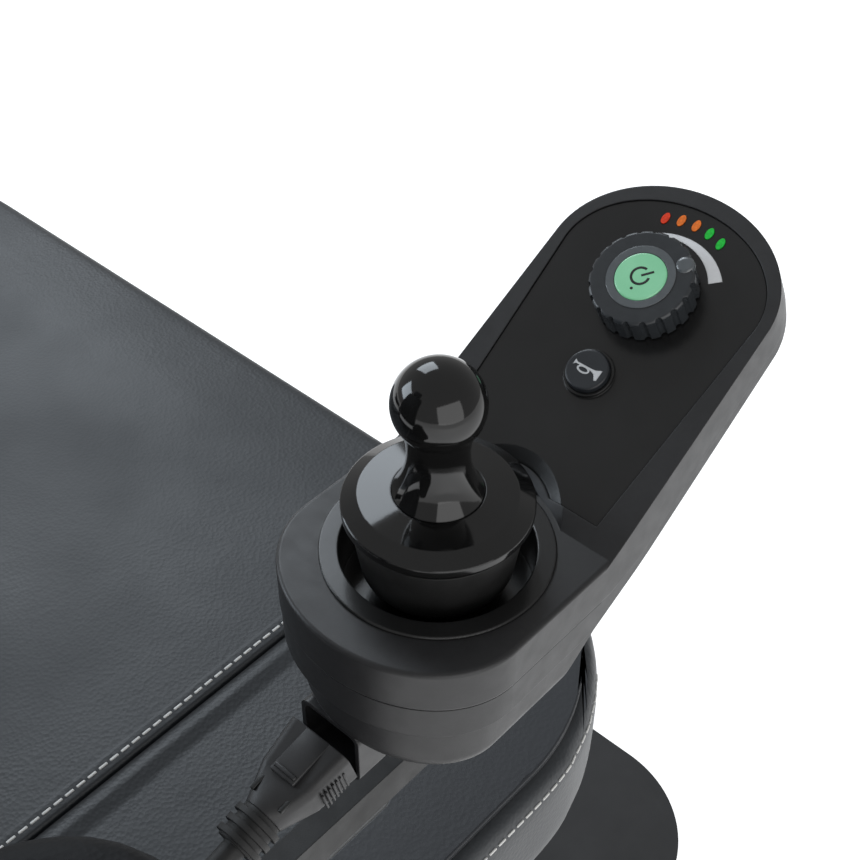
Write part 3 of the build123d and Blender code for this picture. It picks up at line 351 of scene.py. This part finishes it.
# flat marks on the controller
def flatShape(name, outlines, thick):
    curve = bpy.data.curves.new(name, "CURVE")
    curve.dimensions = "2D"
    curve.fill_mode = "BOTH"
    curve.extrude = thick / 2
    for outline in outlines:
        spline = curve.splines.new("POLY")
        spline.points.add(len(outline) - 1)
        for point, (across, along) in zip(spline.points, outline):
            point.co = (across, along, 0, 1)
        spline.use_cyclic_u = True
    shape = bpy.data.objects.new(name, curve)
    scene.collection.objects.link(shape)
    makeActive(shape)
    bpy.ops.object.convert(target="MESH")
    shape = bpy.context.object
    bpy.ops.object.mode_set(mode="EDIT")
    bpy.ops.mesh.select_all(action="SELECT")
    bpy.ops.mesh.remove_doubles(threshold=0.00002)
    bpy.ops.mesh.normals_make_consistent(inside=False)
    bpy.ops.object.mode_set(mode="OBJECT")
    return shape


def flatMark(name, outlines, thick, finish, place, body):
    scaled = [[(across * mm, along * mm) for across, along in outline] for outline in outlines]
    mark = flatShape(name, scaled, thick * mm)
    mark.matrix_world = axesMatrix(panelRight, panelFar, panelUp, place)
    settlePlace(mark)
    dress(mark, finish)
    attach(mark, body)


def ringPoints(radius, start=0, end=360, steps=48, centre=(0, 0)):
    points = []
    for step in range(steps + 1):
        turn = math.radians(start + (end - start) * step / steps)
        points.append((centre[0] + radius * math.sin(turn), centre[1] + radius * math.cos(turn)))
    return points


def wholeRing(radius, steps=64, centre=(0, 0)):
    return ringPoints(radius, 0, 360 - 360 / steps, steps - 1, centre)


marks = {"faceLift": -0.33, "arcStart": -40, "arcEnd": 52, "arcOuter": (19.3, 20.8), "arcInner": (19.0, 16.9),
         "iconLift": 9.93, "iconOuter": 2.9, "iconInner": 2.2, "pointer": 45, "gap": 34, "dish": (7.45, 9.75),
         "dishLift": 9.42, "hornLift": 2.84, "horn": 41.5}


def speedArc(settings):
    steps = 40
    outer, inner = [], []
    for step in range(steps + 1):
        share = step / steps
        turn = math.radians(settings["arcStart"] + (settings["arcEnd"] - settings["arcStart"]) * share)
        far = settings["arcOuter"][0] + (settings["arcOuter"][1] - settings["arcOuter"][0]) * share
        near = settings["arcInner"][0] + (settings["arcInner"][1] - settings["arcInner"][0]) * share
        outer.append((far * math.sin(turn), far * math.cos(turn)))
        inner.append((near * math.sin(turn), near * math.cos(turn)))
    flatMark("speedArc", [outer + inner[::-1]], 0.08, "whiteInk", panelPoint(0, knobReach, settings["faceLift"]),
             "armrest_right")


def powerIcon(settings):
    place = panelPoint(0, knobReach, settings["iconLift"])
    start, end = settings["pointer"] + settings["gap"], settings["pointer"] + 360 - settings["gap"]
    openRing = ringPoints(settings["iconOuter"], start, end) + ringPoints(settings["iconInner"], start, end)[::-1]
    flatMark("powerRing", [openRing], 0.08, "blackInk", place, "power_button")
    turn = math.radians(settings["pointer"])
    ahead, aside = (math.sin(turn), math.cos(turn)), (math.cos(turn), -math.sin(turn))
    bar = []
    for reach, side in ((0.3, -0.33), (3.9, -0.33), (3.9, 0.33), (0.3, 0.33)):
        bar.append((ahead[0] * reach + aside[0] * side, ahead[1] * reach + aside[1] * side))
    flatMark("powerBar", [bar], 0.08, "blackInk", place, "power_button")
    flatMark("powerDot", [wholeRing(0.42, 20, (0, -4.3))], 0.08, "blackInk", place, "power_button")


def hornIcon(settings):
    place = panelPoint(0, settings["horn"], settings["hornLift"])
    body = [(-4.4, 1.25), (-4.4, -0.45), (-3.7, 0.15), (1.3, 0.05), (2.6, -0.35), (3.7, -1.95), (4.35, -1.75),
            (4.35, 1.55), (3.9, 1.45), (2.5, 0.85), (1.2, 0.72), (-3.5, 0.72)]
    flatMark("hornBody", [body], 0.08, "greyInk", place, "horn_button")
    outer, inner = [], []
    for step in range(40):
        turn = 2 * math.pi * step / 40
        outer.append((-0.8 + 2.05 * math.cos(turn), -0.55 + 1.15 * math.sin(turn)))
        inner.append((-0.8 + 1.45 * math.cos(turn), -0.55 + 0.60 * math.sin(turn)))
    flatMark("hornLoop", [outer, inner], 0.07, "greyInk", place, "horn_button")


speedArc(marks)
powerIcon(marks)
hornIcon(marks)
flatMark("knobDish", [wholeRing(marks["dish"][1]), wholeRing(marks["dish"][0])], 0.25, "smokyLens",
         panelPoint(0, knobReach, marks["dishLift"]), "speed_knob")

pointerBump = {"radius": 2.75, "reach": 12.3, "turn": 45, "lift": 8.9, "rise": 1.9}


def addPointerBump(settings):
    turn = math.radians(settings["turn"])
    place = panelPoint(settings["reach"] * math.sin(turn), knobReach + settings["reach"] * math.cos(turn),
                       settings["lift"])
    deselectAll()
    bpy.ops.mesh.primitive_cylinder_add(vertices=40, radius=settings["radius"] * mm, depth=settings["rise"] * mm)
    bump = bpy.context.object
    bump.name = "knobPointer"
    bpy.ops.object.mode_set(mode="EDIT")
    bpy.ops.mesh.select_all(action="DESELECT")
    bpy.ops.object.mode_set(mode="OBJECT")
    for face in bump.data.polygons:
        face.select = face.normal.z > 0.9
    bpy.ops.object.mode_set(mode="EDIT")
    bpy.ops.mesh.bevel(offset=settings["rise"] * mm * 0.9, segments=7, profile=0.62)
    bpy.ops.object.mode_set(mode="OBJECT")
    bump.matrix_world = axesMatrix(panelRight, panelFar, panelUp, place)
    settlePlace(bump)
    smoothShade(bump, 50)
    dress(bump, "smokyLens")
    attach(bump, "speed_knob")


addPointerBump(pointerBump)
print("stage: controller marks")

# plug: latch, side grips and slots
plugLook = {"gripCount": 7, "gripPitch": 1.35, "slotLength": 5.0}


def roundedBlock(name, size, edge, place, turn, finish, body):
    deselectAll()
    bpy.ops.mesh.primitive_cube_add(size=1)
    block = bpy.context.object
    block.name = name
    block.scale = [side * mm for side in size]
    settlePlace(block)
    bpy.ops.object.mode_set(mode="EDIT")
    bpy.ops.mesh.select_all(action="SELECT")
    bpy.ops.mesh.bevel(offset=edge * mm, segments=3)
    bpy.ops.object.mode_set(mode="OBJECT")
    block.matrix_world = Matrix.Translation(place) @ turn
    settlePlace(block)
    smoothShade(block, 40)
    dress(block, finish)
    if body:
        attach(block, body)
    return block


def dressPlug(look):
    plugLow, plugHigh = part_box("controller_plug")
    reliefLow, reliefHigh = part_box("plug_strain_relief")
    start = Vector(((plugLow.x + plugHigh.x) / 2, plugLow.y, plugHigh.z - 7.5 * mm))
    end = Vector(((reliefLow.x + reliefHigh.x) / 2, reliefHigh.y, reliefLow.z + 7.3 * mm))
    ahead = (end - start).normalized()
    right = panelRight
    up = right.cross(ahead).normalized()
    if up.z < 0:
        up = -up
    turn = Matrix((right, ahead, up)).transposed().to_4x4()

    def spot(across, along, lift):
        return start + right * across * mm + ahead * along * mm + up * lift * mm

    roundedBlock("plugLatch", (9.0, 15.0, 1.6), 0.5, spot(0, 9.5, 7.4), turn, "greyMoulding", "armrest_right")
    roundedBlock("plugLatchRib", (8.0, 1.4, 1.2), 0.4, spot(0, 15.2, 8.4), turn, "greyMoulding", "armrest_right")
    ribs = []
    for index in range(look["gripCount"]):
        place = spot(10.6, 5.0 + index * look["gripPitch"], -0.6)
        ribs.append(roundedBlock("gripRib", (1.0, 0.75, 7.5), 0.3, place, turn, "greyMoulding", None))
    grips = joinPieces(ribs, "plugGrips")
    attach(grips, "armrest_right")
    for index, (across, along, lift) in enumerate(((-5.2, 21.5, 5.6), (5.6, 21.5, 5.2))):
        roundedBlock(f"plugSlot_{index}", (1.4, look["slotLength"], 1.0), 0.3, spot(across, along, lift), turn,
                     "blackInk", "armrest_right")


dressPlug(plugLook)
print("stage: plug")

# soft pieces
backUp = Vector(joints["headrest_height"]["axis"]).normalized()
worldAxes = (Vector((1, 0, 0)), Vector((0, 1, 0)), Vector((0, 0, 1)))
backAxes = (Vector((1, 0, 0)), backUp, Vector((1, 0, 0)).cross(backUp))


def localExtents(nodeName, axes):
    points = [vertex.co for vertex in nodes[nodeName].data.vertices]
    low = Vector([min(point.dot(axis) for point in points) for axis in axes])
    high = Vector([max(point.dot(axis) for point in points) for axis in axes])
    return low, high


def selectEdges(piece, test):
    bpy.ops.object.mode_set(mode="EDIT")
    bpy.ops.mesh.select_mode(type="EDGE")
    bpy.ops.mesh.select_all(action="DESELECT")
    bpy.ops.object.mode_set(mode="OBJECT")
    vertices = piece.data.vertices
    for edge in piece.data.edges:
        first, second = vertices[edge.vertices[0]].co, vertices[edge.vertices[1]].co
        edge.select = test(first, second)
    bpy.ops.object.mode_set(mode="EDIT")


# a block with round corners seen from above and round upper and lower edges, then an even mesh
def softBlank(name, low, high, look):
    deselectAll()
    bpy.ops.mesh.primitive_cube_add(size=1, location=(low + high) / 2)
    blank = bpy.context.object
    blank.name = name
    shrink = look["start"] * mm
    blank.scale = [side - 2 * shrink for side in high - low]
    settlePlace(blank)
    middle = (low + high) / 2
    for end, radius in ((-1, look["frontCorner"]), (1, look["rearCorner"])):
        selectEdges(blank, lambda a, b: abs(a.z - b.z) > 0.01 and (a.y - middle.y) * end > 0
                    and abs(a.x - b.x) < 0.001 and abs(a.y - b.y) < 0.001)
        bpy.ops.mesh.bevel(offset=radius * mm, segments=14)
        bpy.ops.object.mode_set(mode="OBJECT")
    top, bottom = high.z - shrink, low.z + shrink
    selectEdges(blank, lambda a, b: abs(a.z - top) < 0.0005 and abs(b.z - top) < 0.0005)
    bpy.ops.mesh.bevel(offset=look["topRound"] * mm, segments=6)
    bpy.ops.object.mode_set(mode="OBJECT")
    selectEdges(blank, lambda a, b: abs(a.z - bottom) < 0.0005 and abs(b.z - bottom) < 0.0005)
    bpy.ops.mesh.bevel(offset=look["lowRound"] * mm, segments=6)
    bpy.ops.object.mode_set(mode="OBJECT")
    remesh = blank.modifiers.new("evenMesh", "REMESH")
    remesh.mode = "VOXEL"
    remesh.voxel_size = look["voxel"] * mm
    smooth = blank.modifiers.new("evenOut", "SMOOTH")
    smooth.factor = 0.5
    smooth.iterations = 4
    applyModifiers(blank)
    return blank


# fills the cover with foam: cloth under pressure, held at its seams, and never further than the cap
def puffUp(piece, look, held):
    start = [vertex.co.copy() for vertex in piece.data.vertices]
    group = piece.vertex_groups.new(name="held")
    group.add([index for index, place in enumerate(start) if held(place)], 1.0, "ADD")
    cloth = piece.modifiers.new("foam", "CLOTH")
    cloth.settings.quality = 4
    cloth.settings.mass = 0.3
    cloth.settings.tension_stiffness = 30
    cloth.settings.compression_stiffness = 30
    cloth.settings.bending_stiffness = 1.5
    cloth.settings.use_pressure = True
    cloth.settings.uniform_pressure_force = look["pressure"]
    cloth.settings.vertex_group_mass = "held"
    cloth.settings.effector_weights.gravity = 0
    cloth.point_cache.frame_start = 1
    cloth.point_cache.frame_end = 20
    for step in range(1, 21):
        scene.frame_set(step)
    makeActive(piece)
    bpy.ops.object.modifier_apply(modifier="foam")
    scene.frame_set(1)
    cap = look["cap"] * mm
    for vertex, before in zip(piece.data.vertices, start):
        moved = vertex.co - before
        if moved.length > cap:
            vertex.co = before + moved * (cap / moved.length)
    piece.vertex_groups.clear()


def foamCover(name, low, high, look, held):
    cover = softBlank(name, low, high, look)
    puffUp(cover, look, held)
    finer = cover.modifiers.new("finer", "SUBSURF")
    finer.levels = finer.render_levels = 1
    applyModifiers(cover)
    return cover


def coverUp(cover, finish, body, nodeName):
    smoothShade(cover, 60)
    dress(cover, finish)
    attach(cover, body)
    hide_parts(nodeName)


cornerSteps = 24


def roundPath(low, high, frontCorner, rearCorner, level):
    corners = ((high.x, low.y, frontCorner, -90), (high.x, high.y, rearCorner, 0), (low.x, high.y, rearCorner, 90),
               (low.x, low.y, frontCorner, 180))
    points = []
    for cornerX, cornerY, radius, start in corners:
        radius *= mm
        centre = Vector((cornerX + (radius if cornerX == low.x else -radius),
                         cornerY + (radius if cornerY == low.y else -radius)))
        for index in range(cornerSteps + 1):
            turn = math.radians(start + 90 * index / cornerSteps)
            points.append(Vector((centre.x + radius * math.cos(turn), centre.y + radius * math.sin(turn), level)))
    return points


def addTube(name, points, radius, finish, closed, matrix, body):
    curve = bpy.data.curves.new(name, "CURVE")
    curve.dimensions = "3D"
    curve.bevel_depth = radius * mm
    curve.bevel_resolution = 3
    curve.use_fill_caps = True
    spline = curve.splines.new("POLY")
    spline.points.add(len(points) - 1)
    for target, point in zip(spline.points, points):
        target.co = (*point, 1)
    spline.use_cyclic_u = closed
    tube = bpy.data.objects.new(name, curve)
    scene.collection.objects.link(tube)
    makeActive(tube)
    bpy.ops.object.convert(target="MESH")
    tube = bpy.context.object
    tube.matrix_world = matrix
    settlePlace(tube)
    smoothShade(tube, 50)
    dress(tube, finish)
    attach(tube, body)


stitchLook = {"length": 3.7, "width": 1.15, "height": 0.8, "pitch": 5.0}


def makeStitch(settings):
    deselectAll()
    bpy.ops.mesh.primitive_cube_add(size=1)
    stitch = bpy.context.object
    stitch.name = "stitch"
    stitch.scale = (settings["length"] * mm, settings["width"] * mm, settings["height"] * mm)
    settlePlace(stitch)
    bpy.ops.object.mode_set(mode="EDIT")
    bpy.ops.mesh.select_all(action="SELECT")
    bpy.ops.mesh.bevel(offset=settings["height"] * mm * 0.42, segments=2)
    bpy.ops.object.mode_set(mode="OBJECT")
    return stitch


oneStitch = makeStitch(stitchLook)


# stitches run along a path, each one lying on the cover
def sewAlong(name, points, cover, matrix, body):
    pitch = stitchLook["pitch"] * mm
    copies = []
    carried = pitch / 2
    for first, second in zip(points, points[1:]):
        length = (second - first).length
        if length < 1e-6:
            continue
        ahead = (second - first) / length
        while carried < length:
            _, spot, up, _ = cover.closest_point_on_mesh(first + ahead * carried)
            side = up.cross(ahead).normalized()
            copy = oneStitch.copy()
            copy.data = oneStitch.data.copy()
            scene.collection.objects.link(copy)
            copy.matrix_world = axesMatrix(side.cross(up), side, up, spot + up * 0.1 * mm)
            copies.append(copy)
            carried += pitch
        carried -= length
    row = joinPieces(copies, name)
    settlePlace(row)
    row.matrix_world = matrix
    settlePlace(row)
    dress(row, "whiteThread")
    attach(row, body)


# cuts clean lines across the cover and pushes the one in the middle down
def cutChannel(piece, place, line):
    makeActive(piece)
    bpy.ops.object.mode_set(mode="EDIT")
    bpy.ops.mesh.select_mode(type="VERT")
    for offset, _ in line:
        bpy.ops.mesh.select_all(action="SELECT")
        bpy.ops.mesh.bisect(plane_co=(place + offset * mm, 0, 0), plane_no=(1, 0, 0), use_fill=False)
    bpy.ops.mesh.select_all(action="DESELECT")
    bpy.ops.object.mode_set(mode="OBJECT")


def pushChannel(piece, place, line, topLevel, yRange):
    for offset, depth in line:
        if depth == 0:
            continue
        makeActive(piece)
        bpy.ops.object.mode_set(mode="EDIT")
        bpy.ops.mesh.select_mode(type="VERT")
        bpy.ops.mesh.select_all(action="DESELECT")
        bpy.ops.object.mode_set(mode="OBJECT")
        for vertex in piece.data.vertices:
            here = vertex.co
            vertex.select = (abs(here.x - place - offset * mm) < 0.00012 and here.z > topLevel
                             and yRange[0] < here.y < yRange[1])
        bpy.ops.object.mode_set(mode="EDIT")
        bpy.ops.transform.translate(value=(0, 0, depth * mm))
        bpy.ops.object.mode_set(mode="OBJECT")


seatLook = {"start": 1.5, "frontCorner": 96.5, "rearCorner": 30, "topRound": 6, "lowRound": 15, "voxel": 6,
            "pressure": 4, "cap": 2.6, "seam": 110.7, "seamStitch": 4.4, "seamEnd": 46, "stitchDrop": 9.5,
            "stitchStart": 34, "heldEdge": 12, "heldDepth": 12, "panelGap": 9, "panelSink": 0.4}
seamLine = ((-5.0, 0.0), (-1.6, -0.4), (-0.5, -2.2), (0.5, -2.2), (1.3, 0.3), (2.2, 0.9), (6.6, 0.8), (8.6, 0.0))
noTurn = Matrix.Identity(4)


def insetCorners(low, high, inset):
    move = Vector((inset * mm, inset * mm, 0))
    return low + move, high - move


def openAtFront(points, limit):
    first = next(index for index, point in enumerate(points) if point.y < limit)
    turned = points[first:] + points[:first]
    return [point for point in turned if point.y >= limit]


def makeSeat(look):
    low, high = localExtents("seat_cushion", worldAxes)
    edge, depth = look["heldEdge"] * mm, look["heldDepth"] * mm

    def held(place):
        inside = min(place.x - low.x, high.x - place.x, place.y - low.y, high.y - place.y)
        return place.z < low.z + 0.02 or inside < edge and place.z > high.z - depth

    cover = foamCover("seatCover", low, high, look, held)
    armX = abs(stickPivot.x)
    for side, word in ((-1, "right"), (1, "left")):
        place = side * (armX - look["seam"] * mm)
        line = [(-side * offset, depth) for offset, depth in seamLine]
        cutChannel(cover, place, line)
        pushChannel(cover, place, line, high.z - 0.02, (low.y + look["seamEnd"] * mm, high.y - 0.012))
        row = place - side * look["seamStitch"] * mm
        seamRow = [Vector((row, low.y + look["seamEnd"] * mm, high.z)), Vector((row, high.y - 0.02, high.z))]
        sewAlong(f"seatSeamStitches_{word}", seamRow, cover, noTurn, "base")
    panelStart = armX - (look["seam"] - look["panelGap"]) * mm
    for vertex in cover.data.vertices:
        if abs(vertex.co.x) > panelStart:
            vertex.co.z = min(vertex.co.z, high.z - look["panelSink"] * mm)
    coverUp(cover, "slateLeather", "base", "seat_cushion")
    limit = low.y + look["stitchStart"] * mm
    edgePath = roundPath(low, high, look["frontCorner"] + look["start"], look["rearCorner"],
                         high.z - look["stitchDrop"] * mm)
    sewAlong("seatEdgeStitches", openAtFront(edgePath, limit), cover, noTurn, "base")
    return low, high


seatLow, seatHigh = makeSeat(seatLook)
print("stage: seat cover")

# a smooth leather side panel lies along each edge of the seat; the pale bead along its inner edge is a painted
# highlight where that edge catches light
sidePanel = {"inner": 30, "bendStart": 8, "bend": ((37, 26), (50, 54), (44, 84), (23, 111)), "outerInset": 8.0,
             "thick": 3.0, "rise": 0.4, "edgeRadius": 0.55, "arcTurn": 41, "arcSteps": 14, "edgeRound": 0.8}


def addSidePanel(side, word, look):
    armX = abs(stickPivot.x)
    innerX = armX - look["inner"] * mm
    inner = [(innerX, seatHigh.y - 0.03), (innerX, stickPivot.y - look["bendStart"] * mm)]
    inner += [(armX - across * mm, stickPivot.y - along * mm) for across, along in look["bend"]]
    innerLow, innerHigh = insetCorners(seatLow, seatHigh, look["outerInset"])
    radius = (seatLook["frontCorner"] + seatLook["start"] - look["outerInset"]) * mm
    centre = (innerHigh.x - radius, innerLow.y + radius)
    outer = []
    for step in range(look["arcSteps"] + 1):
        turn = math.radians(look["arcTurn"] * (step / look["arcSteps"] - 1))
        outer.append((centre[0] + radius * math.cos(turn), centre[1] + radius * math.sin(turn)))
    outer.append((innerHigh.x, seatHigh.y - 0.03))
    outline = [(side * across, along) for across, along in inner + outer]
    panel = flatShape(f"sidePanel_{word}", [outline], look["thick"] * mm)
    panel.location.z = seatHigh.z + (look["rise"] - look["thick"] / 2) * mm
    settlePlace(panel)
    top = seatHigh.z + look["rise"] * mm
    selectEdges(panel, lambda a, b: abs(a.z - top) < 0.0001 and abs(b.z - top) < 0.0001)
    bpy.ops.mesh.bevel(offset=look["edgeRound"] * mm, segments=3)
    bpy.ops.object.mode_set(mode="OBJECT")
    dress(panel, "smoothLeather")
    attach(panel, "base")
    # pale bead along the panel's inner edge: painted highlight
    path = [Vector((side * across, along, top - 0.4 * mm)) for across, along in inner]
    addTube(f"panelEdge_{word}", path, look["edgeRadius"], "paintedEdgeHighlight", False, noTurn, "base")


# light grey finish for the inner-edge bead: a painted highlight, not the leather's own colour
makeMaterial("paintedEdgeHighlight", {"base": (0.16, 0.16, 0.155), "other": (0.10, 0.10, 0.10), "grain": 500, "rough": (0.45, 0.6),
                           "bump": 0.1, "bumpGrain": 2500})
for sideSign, sideWord in ((-1, "right"), (1, "left")):
    addSidePanel(sideSign, sideWord, sidePanel)

# backrest and headrest covers
backLook = {"start": 1.5, "frontCorner": 53, "rearCorner": 53, "topRound": 14, "lowRound": 3, "voxel": 6, "pressure": 4,
            "cap": 4.0, "seam": 110.7, "pipingInset": 6, "pipingDrop": 5, "pipingRadius": 1.9}
headLook = {"start": 1.5, "frontCorner": 43, "rearCorner": 43, "topRound": 16, "lowRound": 3, "voxel": 5, "pressure": 4,
            "cap": 4.0, "seam": None, "pipingInset": 6, "pipingDrop": 6, "pipingRadius": 1.7}


def makeBackCover(name, nodeName, body, look):
    low, high = localExtents(nodeName, backAxes)
    turn = axesMatrix(*backAxes, Vector((0, 0, 0)))
    cover = foamCover(name, low, high, look, lambda place: place.z < low.z + 0.012)
    if look["seam"]:
        for side, word in ((-1, "right"), (1, "left")):
            place = side * look["seam"] * mm
            line = [(-side * offset, depth) for offset, depth in seamLine]
            cutChannel(cover, place, line)
            pushChannel(cover, place, line, high.z - 0.02, (low.y + 0.012, high.y - 0.012))
            row = place - side * seatLook["seamStitch"] * mm
            seamRow = [Vector((row, low.y + 0.02, high.z)), Vector((row, high.y - 0.02, high.z))]
            sewAlong(f"{name}Stitches_{word}", seamRow, cover, turn, body)
    innerLow, innerHigh = insetCorners(low, high, look["pipingInset"])
    corner = look["frontCorner"] + 2 - look["pipingInset"]
    path = roundPath(innerLow, innerHigh, corner, corner, high.z - look["pipingDrop"] * mm)
    snug = [cover.closest_point_on_mesh(point)[1] for point in path]
    addTube(f"{name}Piping", snug, look["pipingRadius"], "padSkin", True, turn, body)
    cover.matrix_world = turn
    settlePlace(cover)
    coverUp(cover, "slateLeather", body, nodeName)


makeBackCover("backCover", "backrest_cushion", "backrest", backLook)
makeBackCover("headCover", "headrest_pad", "headrest", headLook)
print("stage: backrest and headrest")

# armrest pads
padLook = {"start": 0.8, "frontCorner": 44.2, "rearCorner": 44.2, "topRound": 9, "lowRound": 4, "voxel": 4,
           "pressure": 4, "cap": 1.0}


def makeArmPad(word, look):
    low, high = localExtents(f"armrest_pad_{word}", worldAxes)
    pad = foamCover(f"armPad_{word}", low, high, look, lambda place: place.z < low.z + 0.01)
    coverUp(pad, "padSkin", f"armrest_{word}", f"armrest_pad_{word}")


makeArmPad("right", padLook)
makeArmPad("left", padLook)
bpy.data.objects.remove(oneStitch)
print("stage: armrest pads")

# tyres with tread
tread = {"blocks": 44, "slant": 60, "share": 0.62, "depth": 0.003, "shoulder": 0.86, "groove": 0.0022}


def treadMaterial(nodeName, look):
    low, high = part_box(nodeName)
    centre = (low + high) / 2
    reach = (high.z - low.z) / 2
    tree, shader = makeMaterial(f"tread_{nodeName}", looks["tyreRubber"])

    def step(kind, first, second=None, third=None):
        node = tree.nodes.new("ShaderNodeMath")
        node.operation = kind
        for socket, value in zip(node.inputs, (first, second, third)):
            if value is None:
                continue
            if isinstance(value, (int, float)):
                socket.default_value = value
            else:
                tree.links.new(value, socket)
        return node.outputs["Value"]

    place = tree.nodes.new("ShaderNodeTexCoord")
    split = tree.nodes.new("ShaderNodeSeparateXYZ")
    tree.links.new(place.outputs["Object"], split.inputs["Vector"])
    y = step("SUBTRACT", split.outputs["Y"], centre.y)
    z = step("SUBTRACT", split.outputs["Z"], centre.z)
    turn = step("ARCTAN2", z, y)
    across = step("ABSOLUTE", step("SUBTRACT", split.outputs["X"], centre.x))
    count = step("MULTIPLY_ADD", turn, look["blocks"] / (2 * math.pi), step("MULTIPLY", across, look["slant"]))
    block = step("LESS_THAN", step("FRACT", count), look["share"])
    radius = step("SQRT", step("ADD", step("MULTIPLY", y, y), step("MULTIPLY", z, z)))
    outside = step("GREATER_THAN", radius, reach * look["shoulder"])
    rib = step("GREATER_THAN", across, look["groove"])
    height = step("MULTIPLY", step("MULTIPLY", block, outside), rib)
    earlier = shader.inputs["Normal"].links[0].from_socket
    tree.links.new(addBump(tree, height, 0.9, look["depth"], earlier), shader.inputs["Normal"])
    dress(nodes[nodeName], f"tread_{nodeName}")


for sideWord in ("right", "left"):
    treadMaterial(f"drive_tyre_{sideWord}", tread)
    treadMaterial(f"caster_tyre_{sideWord}", {**tread, "blocks": 30})
print("stage: tyres")

# camera
cameraSettings = {"right": 0.1719, "behind": 0.1951, "above": 0.2838, "turn": 41.85, "down": 42.95,
                  "roll": 0.24, "lens": 61.3}


def addCamera(settings):
    data = bpy.data.cameras.new("viewCamera")
    data.lens = settings["lens"]
    data.sensor_width = 36
    data.clip_start = 0.01
    camera = bpy.data.objects.new("viewCamera", data)
    scene.collection.objects.link(camera)
    place = ringCentre + Vector((-settings["right"], settings["behind"], settings["above"]))
    turn, down = math.radians(settings["turn"]), math.radians(settings["down"])
    aim = Vector((math.sin(turn) * math.cos(down), -math.cos(turn) * math.cos(down), -math.sin(down)))
    rotation = aim.to_track_quat("-Z", "Y").to_matrix()
    rotation = rotation @ Matrix.Rotation(math.radians(settings["roll"]), 3, "Z")
    camera.matrix_world = Matrix.Translation(place) @ rotation.to_4x4()
    scene.camera = camera


addCamera(cameraSettings)


# floor and light
def addFloor():
    bpy.ops.object.select_all(action="DESELECT")
    bpy.ops.mesh.primitive_plane_add(size=14, location=(0, 0, 0))
    floor = bpy.context.object
    floor.name = "floor"
    paper = bpy.data.materials.new("floorPaper")
    paper.use_nodes = True
    shader = paper.node_tree.nodes["Principled BSDF"]
    shader.inputs["Base Color"].default_value = (0.93, 0.93, 0.93, 1)
    shader.inputs["Roughness"].default_value = 0.9
    shader.inputs["Emission Color"].default_value = (1, 1, 1, 1)
    shader.inputs["Emission Strength"].default_value = 0.62
    floor.data.materials.append(paper)


def addLight(name, place, aim, size, power, tint=(1, 1, 1)):
    data = bpy.data.lights.new(name, "AREA")
    data.shape = "RECTANGLE"
    data.size, data.size_y = size
    data.energy = power
    data.color = tint
    light = bpy.data.objects.new(name, data)
    light.location = place
    light.rotation_mode = "QUATERNION"
    light.rotation_quaternion = (Vector(aim) - Vector(place)).to_track_quat("-Z", "Y")
    scene.collection.objects.link(light)


addFloor()
addLight("windowLight", (1.82, -1.22, 2.5), ringCentre, (1.3, 1.5), 30, (0.84, 0.92, 1.0))
addLight("skyLight", (1.35, 0.75, 1.35), ringCentre, (1.0, 0.8), 14, (0.80, 0.90, 1.0))
addLight("sideLight", (-2.2, 0.6, 1.3), ringCentre, (2.4, 1.8), 20)
world = bpy.data.worlds.new("softWorld")
scene.world = world
world.use_nodes = True
world.node_tree.nodes["Background"].inputs["Color"].default_value = (1, 1, 1, 1)
world.node_tree.nodes["Background"].inputs["Strength"].default_value = 0.38
scene.view_settings.view_transform = "Standard"
print("stage: camera, floor and light")
